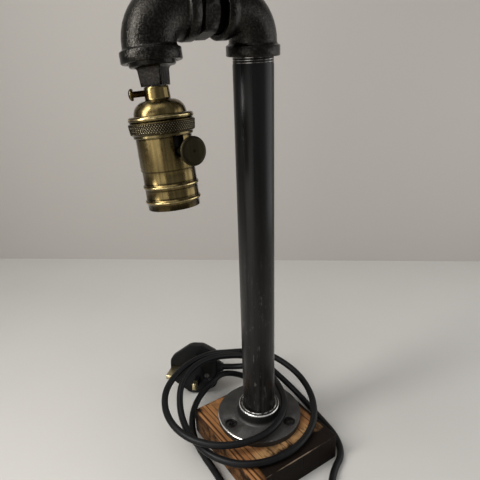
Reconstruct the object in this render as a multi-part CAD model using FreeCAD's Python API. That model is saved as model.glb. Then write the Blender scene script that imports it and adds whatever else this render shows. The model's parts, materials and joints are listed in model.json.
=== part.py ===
"""Industrial pipe table lamp: wood block, floor flange, riser, two elbows and a brass lampholder.

Millimetres. +Z is up and the origin is the riser's axis on the surface that the lamp stands on.
+X is the way the arm reaches. The block's edges lie along X and Y.
"""
import FreeCAD, Part
import math
import os

V = FreeCAD.Vector
Z_AXIS = V(0, 0, 1)

# --- stand -------------------------------------------------------------------------------
BLOCK_BACK, BLOCK_FRONT = 39.5, 44.0        # riser axis to the block's -X and +X sides
BLOCK_FAR, BLOCK_NEAR = 39.5, 57.0          # riser axis to the block's -Y and +Y sides
BLOCK_HEIGHT = 23.0
BLOCK_CORNER_R = 2.0
BLOCK_EDGE = 1.0                            # worn chamfer round the top
WIRE_BORE_R = 8.0
GROOVE_WIDTH, GROOVE_HEIGHT = 9.4, 13.0     # flex channel routed in the underside
GROOVE_X, GROOVE_BEND_Y = -33.0, -16.0      # where the channel leaves the -Y side, and its bend
COVER_STRIP = 1.5                           # strip that closes the channel

# --- pipe fittings, nominal 3/4 inch ------------------------------------------------------
PIPE_R, PIPE_BORE_R = 13.45, 10.8
THREAD_R = 13.22
THREAD_CLEARANCE = 0.05                     # radial, between a thread and its socket
THREAD_DEPTH = 12.0                         # how far a thread goes into a fitting
FLANGE_R, FLANGE_THICKNESS = 36.1, 5.5
HUB_TOP_R, HUB_BASE_R, HUB_HEIGHT = 17.4, 18.8, 9.4
HUB_FILLET = 2.0
FLANGE_EDGE = 0.9
PIPE_SEAT = 2.0                             # ledge in the flange that the riser stands on
SEAT_BORE_R = 11.4
SCREW_CIRCLE_R, SCREW_COUNT, SCREW_START = 28.5, 3, -2.5
SCREW_HEAD_R, SCREW_SHANK_R, SCREW_LENGTH = 4.6, 2.0, 20.0
SCREW_SINK = 1.1                            # head face below the disc's face
SCREW_CLEARANCE = 0.06
EXPOSED_THREAD = 4.2                        # bare thread below the upper elbow
ARM_HEIGHT = 347.0                          # arm axis above the surface
ELBOW_REACH = 27.0                          # elbow centre to either face
ELBOW_BODY_R, ELBOW_BORE_R = 15.3, 10.5
ELBOW_STRAIGHT = 8.5                        # straight socket before the bend
BEAD_R, BEAD_WIDTH, BEAD_ROUND, BEAD_FILLET = 17.3, 6.6, 0.5, 1.6
ARM_LENGTH = 71.6                           # riser axis to drop elbow centre
HEX_ACROSS_FLATS, HEX_WIDTH, HEX_TURN = 29.2, 9.8, 20.0
HEX_OFFSET = 0.8                            # hexagon's middle past the arm's middle
HEX_EDGE = 1.6
NIPPLE_BORE_R = 9.6

# --- head, measured down its own axis from the drop elbow's face --------------------------
HEAD_TILT = 9.0                             # lean about the arm axis, degrees
COLLAR_HEIGHT = 2.2                         # bare thread of the square-head plug
SQUARE_ROOT, SQUARE_TIP, SQUARE_END = 13.8, 12.8, 12.6
SQUARE_TURN = -42.0
SQUARE_CORNER_R = 0.8
TUBE_R, TUBE_BORE_R = 5.0, 4.0
TUBE_TOP, TUBE_END = -17.5, 18.4
NUT_ACROSS_FLATS, NUT_HEIGHT = 14.0, 3.0
TURN_GAP = 0.3                              # running gap between the plug and the neck
SHEET = 0.6                                 # brass sheet wall
FIT = 0.05                                  # radial gap of pressed and threaded brass
SCREW_SHELL_R, SCREW_SHELL_WALL, SCREW_SHELL_END = 13.3, 0.35, 78.6
SCREW_SHELL_FLOOR_R = 10.6                  # flat floor, below a conical rise to the thread
LINER_WALL, LINER_END = 0.5, 80.2
LINER_AIR = 0.55                            # between the live screw shell and the card liner
RIM_R = SCREW_SHELL_R + SCREW_SHELL_WALL + LINER_AIR + LINER_WALL + FIT + SHEET
SHELL_R, SHELL_TOP, SHELL_STEP = RIM_R + 0.85, 34.0, 58.8
SHELL_LOWER_R, SHELL_END = SHELL_R - 0.6, 82.0
ROLLED_BEAD_R = SHELL_R + 0.3
ROLLED_BEADS = ((66.8, 69.8), (75.6, 78.5))
NECK_R, NECK_FOOT_R, NECK_END = 7.1, 7.4, 20.3
DOME_SHOULDER_R, DOME_R, DOME_END = 8.7, SHELL_R - 1.1, 28.6
RING_TOP, RING_LIP_R, RING_LIP_END = 28.6, SHELL_R + 2.1, 31.3
KNURL_R, KNURL_FOOT_R, KNURL_END = SHELL_R + 3.2, SHELL_R + 2.4, 38.6
RING_FOOT_R, RING_END = SHELL_R + 1.1, 40.4
CONTACT_RISE, CONTACT_THICKNESS = 3.2, 0.5
CORE_R, CORE_TOP, CORE_FLANGE_TOP = 13.4, 37.0, 56.0
KEY_DEPTH = 49.0                            # stem axis below the drop elbow's face
KEY_TURN = 5.2                              # key's azimuth from the -Y side of the head, degrees
KEY_STEM_R, KEY_SLOT_GAP = 2.0, 1.4
KEY_INNER, KEY_NECK, KEY_KNOB_FACE = 5.0, 25.7, 30.8
KNOB_R, KNOB_THICKNESS, KNOB_ROUND = 8.0, 2.6, 0.9
CAM_SIDE, CAM_LENGTH = 6.4, 7.0
SWITCH_POCKET = 12.0
BLADE_THICKNESS, BLADE_WIDTH = 0.5, 5.0
LOCK_SCREW_DEPTH, LOCK_SCREW_AZIMUTH = 15.9, 30.0
LOCK_SCREW_R, LOCK_HEAD_R, LOCK_HEAD_START, LOCK_HEAD_END = 1.75, 3.45, 13.6, 16.2

# --- flex ----------------------------------------------------------------------------------
FLEX_R = 2.9
FLEX_BEND_SHARE = 0.45
JOINT_GAP = 0.3
EXIT_HEIGHT = 8.0
SLEEVE_IN, SLEEVE_OUT = 16.0, 4.2           # exit sleeve inside and outside the block
FLEX_MEETS_Y = -38.0                        # inner and free flex meet inside the sleeve
SLEEVE_R, SLEEVE_TIP_R, SLEEVE_FLANGE_R, SLEEVE_FLANGE = 4.6, 3.7, 6.6, 1.6

# --- three-pin plug, in its own frame: x across, y to the earth pin, z out of the pin face ---
PLUG_AT = V(15.6, -83.8, 25.9)
PLUG_YAW, PLUG_LEAN = -39.5, 16.0
PIN_SPACING, EARTH_OFFSET = 22.2, 22.2
PIN_WIDTH, PIN_THICKNESS, PIN_LENGTH = 6.35, 4.0, 17.7
EARTH_WIDTH, EARTH_THICKNESS, EARTH_LENGTH = 4.0, 8.0, 22.7
PIN_ROOT = 5.0                              # pin held inside the base
PIN_BEVEL = 0.8
PIN_SLEEVE_LENGTH, PIN_SLEEVE_WALL = 9.2, 0.35
PLUG_FOOT, PLUG_CROWN = -19.5, 27.5         # outlet end and earth end
PLUG_HALF_WIDTH, PLUG_FOOT_WIDTH, PLUG_CROWN_WIDTH = 24.8, 16.5, 11.0
PLUG_CORNER_R = 8.0
PLUG_BASE_DEPTH, PLUG_COVER_DEPTH = 7.0, 19.0
PLUG_WALL = 2.2
COVER_MID, GRIP_ROOT, GRIP_TIP = (0.90, 0.95), (0.80, 0.90), (0.62, 0.80)   # across and along
OUTLET_DEPTH = 9.0                          # flex axis behind the pin face
OUTLET_R = 3.3
CORD_END = -13.0                            # where the flex ends inside the plug
GUARD_END, GUARD_R, GUARD_TIP_R, GUARD_RIBS = -25.0, 6.6, 4.6, 3
FUSE_R, FUSE_LENGTH, FUSE_X, FUSE_Y, FUSE_DEPTH = 3.15, 25.4, -12.1, 0.5, 9.4
COVER_SCREW_R, COVER_SCREW_X, COVER_SCREW_Y = 2.6, -6.5, -9.5


# --- small helpers ---------------------------------------------------------------------------
def cylinder(radius, start, end):
    """A cylinder on the z axis from one height to another."""
    return Part.makeCylinder(radius, end - start, V(0, 0, start))


def tube(outer, inner, start, end):
    """A round tube on the z axis."""
    return cylinder(outer, start, end).cut(cylinder(inner, start - 1, end + 1))


def box(low, high):
    """A box between two corners."""
    return Part.makeBox(high[0] - low[0], high[1] - low[1], high[2] - low[2], V(*low))


def turned(profile):
    """A solid of revolution about z from a closed (radius, height) outline."""
    points = [V(r, 0, z) for r, z in profile]
    face = Part.Face(Part.makePolygon(points + points[:1]))
    return face.revolve(V(0, 0, 0), Z_AXIS, 360)


def turned_wire(edges):
    """A solid of revolution about z from edges that close an outline in the XZ plane."""
    return Part.Face(Part.Wire(edges)).revolve(V(0, 0, 0), Z_AXIS, 360)


def hexagon(across_flats, start, end, turn=0.0):
    """A hexagonal prism on the z axis."""
    corner = across_flats / math.sqrt(3)
    points = [V(corner * math.cos(a), corner * math.sin(a), start)
              for a in (math.radians(turn + 60 * k) for k in range(6))]
    return Part.Face(Part.makePolygon(points + points[:1])).extrude(V(0, 0, end - start))


def chamfered_hexagon(across_flats, start, end, edge, turn=0.0):
    """A hexagonal prism with turned bevels at both ends."""
    flat = across_flats / 2
    corner = across_flats / math.sqrt(3)
    rise = edge
    cone = turned([(0, start), (flat, start), (corner + 0.1, start + rise),
                   (corner + 0.1, end - rise), (flat, end), (0, end)])
    return hexagon(across_flats, start, end, turn).common(cone)


def placed(shape, at, rotation):
    """A copy of a shape turned about the origin and moved."""
    result = shape.copy()
    result.Placement = FreeCAD.Placement(at, rotation).multiply(result.Placement)
    return result


def along_x(shape, x=0.0, z=0.0):
    """A shape made on the z axis, laid along +X."""
    return placed(shape, V(x, 0, z), FreeCAD.Rotation(V(0, 1, 0), 90))


def corner_edges(points, radii, closed=False):
    """Straight runs joined by tangent arcs through the corners of a route."""
    count = len(points)
    corners = range(count) if closed else range(1, count - 1)
    ends = {}
    for i in corners:
        here, back, on = points[i], points[i - 1], points[(i + 1) % count]
        to_back, to_on = (back - here).normalize(), (on - here).normalize()
        turn = math.pi - to_back.getAngle(to_on)
        reach = radii[i] * math.tan(turn / 2)
        bisector = (to_back + to_on).normalize()
        middle = here + bisector * (radii[i] / math.cos(turn / 2) - radii[i])
        ends[i] = (here + to_back * reach, middle, here + to_on * reach)
    edges = []
    for i in range(count if closed else count - 1):
        j = (i + 1) % count
        start = ends[i][2] if i in ends else points[i]
        stop = ends[j][0] if j in ends else points[j]
        if start.distanceToPoint(stop) > 1e-6:
            edges.append(Part.LineSegment(start, stop).toShape())
        if j in ends:
            edges.append(Part.Arc(*ends[j]).toShape())
    return edges


def rounded_plate(corners, radius, start, end):
    """A plate with rounded corners, from a list of (x, y) corners."""
    points = [V(x, y, start) for x, y in corners]
    wire = Part.Wire(Part.__sortEdges__(corner_edges(points, [radius] * len(points), True)))
    return Part.Face(wire).extrude(V(0, 0, end - start))


# --- frames ------------------------------------------------------------------------------------
def head_placed(shape):
    """Head pieces are made with z down the head's axis from the drop elbow's face."""
    tilt = math.radians(HEAD_TILT)
    down = V(0, math.sin(tilt), -math.cos(tilt))
    origin = V(ARM_LENGTH, 0, ARM_HEIGHT) + down * ELBOW_REACH
    return placed(shape, origin, FreeCAD.Rotation(V(1, 0, 0), 180 + HEAD_TILT))


def plug_rotation():
    """Turns the plug's own axes into where it lies on its side."""
    yaw, lean = math.radians(PLUG_YAW), math.radians(PLUG_LEAN)
    to_earth = V(math.cos(yaw), math.sin(yaw), 0)
    level = V(-to_earth.y, to_earth.x, 0)
    out = level * math.cos(lean) + Z_AXIS * math.sin(lean)
    across = to_earth.cross(out)
    return FreeCAD.Rotation(across, to_earth, out, "ZYX")


def plug_placed(shape):
    """A plug piece moved to where the plug lies."""
    return placed(shape, PLUG_AT, plug_rotation())


def plug_point(x, y, z):
    """A point of the plug's own frame in the lamp's frame."""
    return PLUG_AT + plug_rotation().multVec(V(x, y, z))


# --- stand ---------------------------------------------------------------------------------------
def block_outline():
    """The block's four corners seen from above."""
    return [(-BLOCK_BACK, -BLOCK_FAR), (BLOCK_FRONT, -BLOCK_FAR),
            (BLOCK_FRONT, BLOCK_NEAR), (-BLOCK_BACK, BLOCK_NEAR)]


def slot_between(start, end, width, top):
    """A round-ended channel open at the underside."""
    run = V(*end, 0) - V(*start, 0)
    angle = math.degrees(math.atan2(run.y, run.x))
    straight = box((0, -width / 2, -1), (run.Length, width / 2, top))
    straight = placed(straight, V(*start, 0), FreeCAD.Rotation(Z_AXIS, angle))
    ends = [Part.makeCylinder(width / 2, top + 1, V(x, y, -1)) for x, y in (start, end)]
    return straight.fuse(ends)


def screw_centres():
    """Angles and places of the flange screws."""
    for k in range(SCREW_COUNT):
        angle = math.radians(SCREW_START + 360.0 * k / SCREW_COUNT)
        yield V(SCREW_CIRCLE_R * math.cos(angle), SCREW_CIRCLE_R * math.sin(angle), 0)


def screw_form(gap=0.0):
    """A countersunk wood screw with its head at the flange; gap makes the hole for it."""
    face = BLOCK_HEIGHT + FLANGE_THICKNESS - SCREW_SINK
    neck = face - (SCREW_HEAD_R - SCREW_SHANK_R)
    head, shank = SCREW_HEAD_R + gap, SCREW_SHANK_R + gap
    tip = neck - SCREW_LENGTH
    return turned([(0, face), (head, face), (shank, neck), (shank, tip + SCREW_SHANK_R),
                   (gap, tip), (0, tip)])


def base_block():
    """Square-edged block with the flex channel, wire bore and screw holes."""
    block = rounded_plate(block_outline(), BLOCK_CORNER_R, 0, BLOCK_HEIGHT)
    top = [e for e in block.Edges if abs(e.BoundBox.ZMin - BLOCK_HEIGHT) < 1e-6
           and abs(e.BoundBox.ZMax - BLOCK_HEIGHT) < 1e-6]
    block = block.makeChamfer(BLOCK_EDGE, top)
    bend = (GROOVE_X, GROOVE_BEND_Y)
    block = block.cut([slot_between((GROOVE_X, -BLOCK_FAR - 5), bend, GROOVE_WIDTH, GROOVE_HEIGHT),
                       slot_between(bend, (0, 0), GROOVE_WIDTH, GROOVE_HEIGHT),
                       cylinder(WIRE_BORE_R, -1, BLOCK_HEIGHT + 1)])
    hole = screw_form(SCREW_CLEARANCE)
    return block.cut([placed(hole, at, FreeCAD.Rotation()) for at in screw_centres()])


def channel_cover():
    """Fibre strip glued into the mouth of the flex channel, flush with the underside."""
    width = GROOVE_WIDTH - 2 * FIT
    bend = (GROOVE_X, GROOVE_BEND_Y)
    strip = slot_between((GROOVE_X, -BLOCK_FAR), bend, width, COVER_STRIP)
    strip = strip.fuse([slot_between(bend, (0, 0), width, COVER_STRIP),
                        cylinder(WIRE_BORE_R - FIT, -1, COVER_STRIP)])
    keep = box((-BLOCK_BACK, -BLOCK_FAR + JOINT_GAP, 0), (BLOCK_FRONT, BLOCK_NEAR, COVER_STRIP))
    return strip.common(keep).removeSplitter()


def floor_flange():
    """Cast disc with a threaded hub, three countersunk holes and a ledge for the riser."""
    low, top = BLOCK_HEIGHT, BLOCK_HEIGHT + FLANGE_THICKNESS
    hub = top + HUB_HEIGHT
    bore = THREAD_R + THREAD_CLEARANCE
    body = turned([(SEAT_BORE_R, low), (FLANGE_R, low), (FLANGE_R, top - FLANGE_EDGE),
                   (FLANGE_R - FLANGE_EDGE, top), (HUB_BASE_R + HUB_FILLET, top),
                   (HUB_BASE_R + 0.5 * HUB_FILLET, top + 0.25 * HUB_FILLET),
                   (HUB_BASE_R, top + HUB_FILLET), (HUB_TOP_R, hub - 0.8),
                   (HUB_TOP_R - 0.8, hub), (bore + 0.9, hub), (bore, hub - 0.9),
                   (bore, low + PIPE_SEAT), (SEAT_BORE_R, low + PIPE_SEAT)])
    hole = screw_form(SCREW_CLEARANCE)
    face = top - SCREW_SINK
    mouth = turned([(0, face - 0.01), (SCREW_HEAD_R + SCREW_CLEARANCE, face - 0.01),
                    (SCREW_HEAD_R + SCREW_CLEARANCE + 0.3, top + 1), (0, top + 1)])
    tools = [placed(s, at, FreeCAD.Rotation()) for at in screw_centres() for s in (hole, mouth)]
    return body.cut(tools)


def flange_screws():
    """Three wood screws with a cross recess in each head."""
    face = BLOCK_HEIGHT + FLANGE_THICKNESS - SCREW_SINK
    arm, web, deep = 1.9, 0.45, 1.4
    cross = [box((-arm, -web, face - deep), (arm, web, face + 1)),
             box((-web, -arm, face - deep), (web, arm, face + 1))]
    screw = screw_form().cut(cross)
    return Part.makeCompound([placed(screw, at, FreeCAD.Rotation()) for at in screw_centres()])


def riser_pipe():
    """Steel pipe with a turned-down thread at each end."""
    low = BLOCK_HEIGHT + PIPE_SEAT
    foot = BLOCK_HEIGHT + FLANGE_THICKNESS + HUB_HEIGHT + 1.0
    face = ARM_HEIGHT - ELBOW_REACH
    shoulder, top = face - EXPOSED_THREAD, face + THREAD_DEPTH
    return turned([(PIPE_BORE_R, low), (THREAD_R, low), (THREAD_R, foot), (PIPE_R, foot + 0.6),
                   (PIPE_R, shoulder - 0.6), (THREAD_R, shoulder), (THREAD_R, top - 0.8),
                   (THREAD_R - 0.8, top), (PIPE_BORE_R, top)])


def exit_sleeve():
    """Tapered rubber sleeve where the flex leaves the block, in the mouth of its channel."""
    bore = FLEX_R + FIT
    sleeve = turned([(bore, -SLEEVE_IN), (SLEEVE_R - 0.5, -SLEEVE_IN), (SLEEVE_R, -SLEEVE_IN + 0.5),
                     (SLEEVE_R, 0), (SLEEVE_FLANGE_R, 0), (SLEEVE_FLANGE_R, SLEEVE_FLANGE - 0.4),
                     (SLEEVE_FLANGE_R - 0.4, SLEEVE_FLANGE), (SLEEVE_R, SLEEVE_FLANGE),
                     (SLEEVE_TIP_R, SLEEVE_OUT), (bore, SLEEVE_OUT)])
    return placed(sleeve, V(GROOVE_X, -BLOCK_FAR, EXIT_HEIGHT), FreeCAD.Rotation(V(1, 0, 0), 90))


# --- elbows and nipple ------------------------------------------------------------------------------
def bent_bar(radius, reach):
    """A round bar from -Z to +X round the elbow's bend, its ends at the given reach."""
    bend = ELBOW_REACH - ELBOW_STRAIGHT
    down = Part.makeCylinder(radius, reach - bend, V(0, 0, -reach))
    out = Part.makeCylinder(radius, reach - bend, V(bend, 0, 0), V(1, 0, 0))
    ring = Part.Face(Part.Wire(Part.makeCircle(radius, V(0, 0, -bend), Z_AXIS)))
    quarter = ring.revolve(V(bend, 0, -bend), V(0, 1, 0), 90)
    return down, quarter, out


def elbow():
    """Malleable 90 degree elbow, ports to -Z and +X, with beaded mouths."""
    down, quarter, out = bent_bar(ELBOW_BODY_R, ELBOW_REACH)
    face, foot = -ELBOW_REACH, -ELBOW_REACH + BEAD_WIDTH
    step = BEAD_R - ELBOW_BODY_R
    bead = turned([(0, face), (BEAD_R - BEAD_ROUND, face), (BEAD_R, face + BEAD_ROUND),
                   (BEAD_R, foot - BEAD_ROUND), (BEAD_R - 0.15 * step, foot - 0.1),
                   (BEAD_R - 0.5 * step, foot + 0.1 * BEAD_FILLET),
                   (BEAD_R - 0.8 * step, foot + 0.4 * BEAD_FILLET),
                   (ELBOW_BODY_R, foot + BEAD_FILLET), (0, foot + BEAD_FILLET)])
    bead_out = placed(bead, V(0, 0, 0), FreeCAD.Rotation(V(0, 1, 0), -90))
    body = quarter.fuse([down, out, bead, bead_out])
    inner = bent_bar(ELBOW_BORE_R, ELBOW_REACH + 1)
    socket = cylinder(THREAD_R + THREAD_CLEARANCE, -ELBOW_REACH - 1, -ELBOW_REACH + THREAD_DEPTH + 0.5)
    mouth = turned([(0, face - 0.1), (THREAD_R + 1.2, face - 0.1), (THREAD_R, face + 1.1),
                    (0, face + 1.1)])
    ports = [socket, mouth]
    ports += [placed(s, V(0, 0, 0), FreeCAD.Rotation(V(0, 1, 0), -90)) for s in (socket, mouth)]
    return body.cut(list(inner) + ports).removeSplitter()


def upper_elbow():
    """Elbow on the riser, its side port along the arm."""
    return placed(elbow(), V(0, 0, ARM_HEIGHT), FreeCAD.Rotation())


def drop_elbow():
    """Elbow on the nipple's far end, its other port down, leaned about the arm axis."""
    turned_back = placed(elbow(), V(0, 0, 0), FreeCAD.Rotation(Z_AXIS, 180))
    return placed(turned_back, V(ARM_LENGTH, 0, ARM_HEIGHT), FreeCAD.Rotation(V(1, 0, 0), HEAD_TILT))


def hex_nipple():
    """Hexagon nipple that joins the two elbows."""
    start = ELBOW_REACH - THREAD_DEPTH
    end = ARM_LENGTH - ELBOW_REACH + THREAD_DEPTH
    middle = ARM_LENGTH / 2 + HEX_OFFSET
    low, high = middle - HEX_WIDTH / 2, middle + HEX_WIDTH / 2
    bar = turned([(0, start), (THREAD_R - 0.8, start), (THREAD_R, start + 0.8),
                  (THREAD_R, end - 0.8), (THREAD_R - 0.8, end), (0, end)])
    bar = bar.fuse(chamfered_hexagon(HEX_ACROSS_FLATS, low, high, HEX_EDGE, HEX_TURN - 90))
    bar = bar.cut(cylinder(NIPPLE_BORE_R, start - 1, end + 1))
    return along_x(bar, 0, ARM_HEIGHT)


# --- head ---------------------------------------------------------------------------------------------
def square_section(side, height):
    """A square wire with rounded corners about the z axis."""
    half = side / 2
    points = [V(x, y, height) for x, y in ((-half, -half), (half, -half), (half, half), (-half, half))]
    return Part.Wire(Part.__sortEdges__(corner_edges(points, [SQUARE_CORNER_R] * 4, True)))


def square_head_plug():
    """Square-head pipe plug drilled for the threaded tube."""
    thread = turned([(0, -THREAD_DEPTH), (THREAD_R - 0.8, -THREAD_DEPTH),
                     (THREAD_R, -THREAD_DEPTH + 0.8), (THREAD_R, COLLAR_HEIGHT - 0.6),
                     (THREAD_R - 0.6, COLLAR_HEIGHT), (0, COLLAR_HEIGHT)])
    flare = 1.9
    sections = [square_section(SQUARE_ROOT + 3.2, COLLAR_HEIGHT - 0.05),
                square_section(SQUARE_ROOT + 1.1, COLLAR_HEIGHT + 0.3 * flare),
                square_section(SQUARE_ROOT, COLLAR_HEIGHT + flare)]
    foot = Part.makeLoft(sections, True, True)
    head = Part.makeLoft([square_section(SQUARE_ROOT, COLLAR_HEIGHT + flare),
                          square_section(SQUARE_TIP, SQUARE_END)], True, True)
    head = placed(foot.fuse(head), V(0, 0, 0), FreeCAD.Rotation(Z_AXIS, SQUARE_TURN))
    bore = cylinder(TUBE_R + FIT, -THREAD_DEPTH - 1, SQUARE_END + 1)
    return head_placed(thread.fuse(head).cut(bore).removeSplitter())


def threaded_tube():
    """Short threaded tube that carries the lampholder and the flex."""
    return head_placed(tube(TUBE_R, TUBE_BORE_R, TUBE_TOP, TUBE_END))


def tube_lock_nut():
    """Thin nut on the tube inside the drop elbow, against the plug's thread end."""
    end = -THREAD_DEPTH
    nut = chamfered_hexagon(NUT_ACROSS_FLATS, end - NUT_HEIGHT, end, 0.5)
    return head_placed(nut.cut(cylinder(TUBE_R + FIT, end - 10, end + 10)))


def dome_edges(radius_change):
    """Outline of the dome, a quarter ellipse from the neck to the ring, moved by a wall."""
    start = V(DOME_SHOULDER_R + radius_change, 0, NECK_END - 0.6 * radius_change)
    end = V(DOME_R + radius_change, 0, DOME_END)
    share = 0.72
    middle = V(start.x + (end.x - start.x) * share, 0, start.z + (end.z - start.z) * (1 - share) * 1.15)
    return Part.Arc(start, middle, end).toShape()


def line(a, b):
    """A straight edge between two (radius, height) points."""
    return Part.LineSegment(V(a[0], 0, a[1]), V(b[0], 0, b[1])).toShape()


def lock_screw_placed(shape):
    """A piece made along z moved onto the lock screw's axis."""
    turn = FreeCAD.Rotation(Z_AXIS, LOCK_SCREW_AZIMUTH).multiply(FreeCAD.Rotation(V(0, 1, 0), 90))
    return placed(shape, V(0, 0, LOCK_SCREW_DEPTH), turn)


def holder_cap():
    """Turned neck and spun dome in one, bored for the threaded tube."""
    bore = TUBE_R + FIT
    top = SQUARE_END + TURN_GAP
    skirt = SHELL_TOP
    outer, inner = dome_edges(0), dome_edges(-SHEET)
    inner_start, inner_end = inner.Vertexes[0].Point, inner.Vertexes[1].Point
    edges = [line((bore, top), (NECK_R - 0.4, top)), line((NECK_R - 0.4, top), (NECK_R, top + 0.4)),
             line((NECK_R, top + 0.4), (NECK_FOOT_R, NECK_END)),
             line((NECK_FOOT_R, NECK_END), (DOME_SHOULDER_R, NECK_END)), outer,
             line((DOME_R, DOME_END), (DOME_R, skirt)), line((DOME_R, skirt), (DOME_R - SHEET, skirt)),
             line((DOME_R - SHEET, skirt), (inner_end.x, inner_end.z)), inner,
             line((inner_start.x, inner_start.z), (bore, inner_start.z)),
             line((bore, inner_start.z), (bore, top))]
    cap = turned_wire(Part.__sortEdges__(edges))
    hole = lock_screw_placed(cylinder(LOCK_SCREW_R + FIT, 0, LOCK_HEAD_START))
    return head_placed(cap.cut(hole))


def neck_lock_screw():
    """Dome-headed screw through the neck, its point at the threaded tube."""
    point, rim = TUBE_R + 0.1, LOCK_HEAD_START + 0.7
    crown = [(LOCK_HEAD_R * math.cos(a), rim + (LOCK_HEAD_END - rim) * math.sin(a))
             for a in (math.pi / 16 * k for k in range(8))]
    screw = turned([(0, point), (LOCK_SCREW_R - 0.4, point), (LOCK_SCREW_R, point + 0.4),
                    (LOCK_SCREW_R, LOCK_HEAD_START), (LOCK_HEAD_R - 0.3, LOCK_HEAD_START)]
                   + crown + [(0, LOCK_HEAD_END)])
    return head_placed(lock_screw_placed(screw))


def knurled_ring():
    """Two-tier collar that clamps the shell to the dome, with a rolled top lip."""
    dome, shell = DOME_R + FIT, SHELL_R + FIT
    lip = RING_LIP_R
    ring = turned([(dome, RING_TOP), (lip - 1.0, RING_TOP + 0.1), (lip - 0.25, RING_TOP + 0.55),
                   (lip, RING_TOP + 1.2), (lip - 0.2, RING_LIP_END - 0.3), (lip - 0.7, RING_LIP_END),
                   (KNURL_R - 0.5, RING_LIP_END + 0.15), (KNURL_R, RING_LIP_END + 0.7),
                   (KNURL_FOOT_R, KNURL_END - 0.4), (RING_FOOT_R, KNURL_END),
                   (RING_FOOT_R, RING_END - 0.4), (RING_FOOT_R - 0.4, RING_END),
                   (shell, RING_END), (shell, SHELL_TOP), (dome, SHELL_TOP)])
    return head_placed(ring)


def shell_profile(change):
    """Outer or inner line of the shell from its top to its mouth, moved by a wall."""
    line_out = [(SHELL_R + change, SHELL_TOP), (SHELL_R + change, SHELL_STEP + change),
                (SHELL_LOWER_R + change, SHELL_STEP + 0.9 + change)]
    for start, end in ROLLED_BEADS:
        for k in range(9):
            rise = math.sin(math.pi * k / 8) ** 1.3
            line_out.append((SHELL_LOWER_R + change + (ROLLED_BEAD_R - SHELL_LOWER_R) * rise,
                             start + (end - start) * k / 8))
    return line_out + [(RIM_R + change, ROLLED_BEADS[-1][1] + 0.4), (RIM_R + change, SHELL_END)]


def key_placed(shape):
    """A piece made along z moved onto the switch key's axis in the core's frame."""
    return placed(shape, V(0, 0, KEY_DEPTH), FreeCAD.Rotation(V(1, 0, 0), 90))


def key_turned(shape):
    """A piece in the core's frame turned about the head's axis to the key's azimuth."""
    return placed(shape, V(0, 0, 0), FreeCAD.Rotation(Z_AXIS, -KEY_TURN))


def core_placed(shape):
    """The core, the switch and the key turn together about the head's axis."""
    return head_placed(key_turned(shape))


def holder_shell():
    """Rolled sheet shell: step, two beads, rim and the open slot for the key's stem."""
    shell = turned(shell_profile(0) + shell_profile(-SHEET)[::-1])
    half = KEY_STEM_R + KEY_SLOT_GAP
    slot = box((-half, -SHELL_R - 2, SHELL_TOP - 1), (half, -SHELL_R / 2, KEY_DEPTH))
    stem_hole = key_placed(cylinder(half, SHELL_R / 2, SHELL_R + 2))
    return head_placed(shell.cut([key_turned(slot), key_turned(stem_hole)]))


def core_floor():
    """Depth of the core's seat on the shell's inner step."""
    return SHELL_STEP - SHEET


def ceramic_core():
    """Porcelain body with the switch pocket, the stem's bearing and the wire hole."""
    floor = core_floor()
    flange = SHELL_R - SHEET - FIT
    body = turned([(0, CORE_TOP), (CORE_R - 1, CORE_TOP), (CORE_R, CORE_TOP + 1),
                   (CORE_R, CORE_FLANGE_TOP), (flange, CORE_FLANGE_TOP), (flange, floor), (0, floor)])
    half = SWITCH_POCKET / 2
    pocket = box((-half, -half, KEY_DEPTH - half), (half, half, floor + 1))
    stem = key_placed(cylinder(KEY_STEM_R + FIT, 0, SHELL_R))
    wires = cylinder(FLEX_R + 0.4, CORE_TOP - 1, KEY_DEPTH)
    screws = [cylinder(1.5 + FIT, CORE_TOP - 1, CORE_TOP + 5) for _ in range(2)]
    screws = [placed(s, V(x, 0, 0), FreeCAD.Rotation()) for s, x in zip(screws, (-9, 9))]
    return core_placed(body.cut([pocket, stem, wires] + screws))


def insulating_liner():
    """Card sleeve between the shell and the live screw shell."""
    outer = RIM_R - SHEET - FIT
    return head_placed(tube(outer, outer - LINER_WALL, core_floor(), LINER_END))


def screw_shell():
    """Threaded brass cup that takes the bulb's cap, its floor on the core."""
    outer = SCREW_SHELL_R + SCREW_SHELL_WALL
    floor, rim = core_floor(), SWITCH_POCKET / 2 + 3
    start = floor + CONTACT_RISE + 0.6
    cup = turned([(rim, floor), (SCREW_SHELL_FLOOR_R + 0.5, floor), (outer, start - 0.3),
                  (outer, SCREW_SHELL_END), (SCREW_SHELL_R, SCREW_SHELL_END), (SCREW_SHELL_R, start),
                  (SCREW_SHELL_FLOOR_R, floor + 0.6), (rim, floor + 0.6)])
    return head_placed(cup)


def centre_contact():
    """Spring strip across the core's pocket that presses on the bulb's tip."""
    floor = core_floor()
    half = SWITCH_POCKET / 2
    rise, thick = CONTACT_RISE, CONTACT_THICKNESS
    outline = [(-half + 0.1, floor - 3.0), (-half + 0.1 + thick, floor - 3.0),
               (-half + 0.1 + thick, floor - thick), (2.6, floor + rise - thick),
               (5.0, floor + rise - thick - 1.2), (5.0, floor + rise - 1.2),
               (2.4, floor + rise), (-half + 0.1, floor + 0.2)]
    points = [V(x, -BLADE_WIDTH / 2, z) for x, z in outline]
    strip = Part.Face(Part.makePolygon(points + points[:1])).extrude(V(0, BLADE_WIDTH, 0))
    return core_placed(strip)


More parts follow.
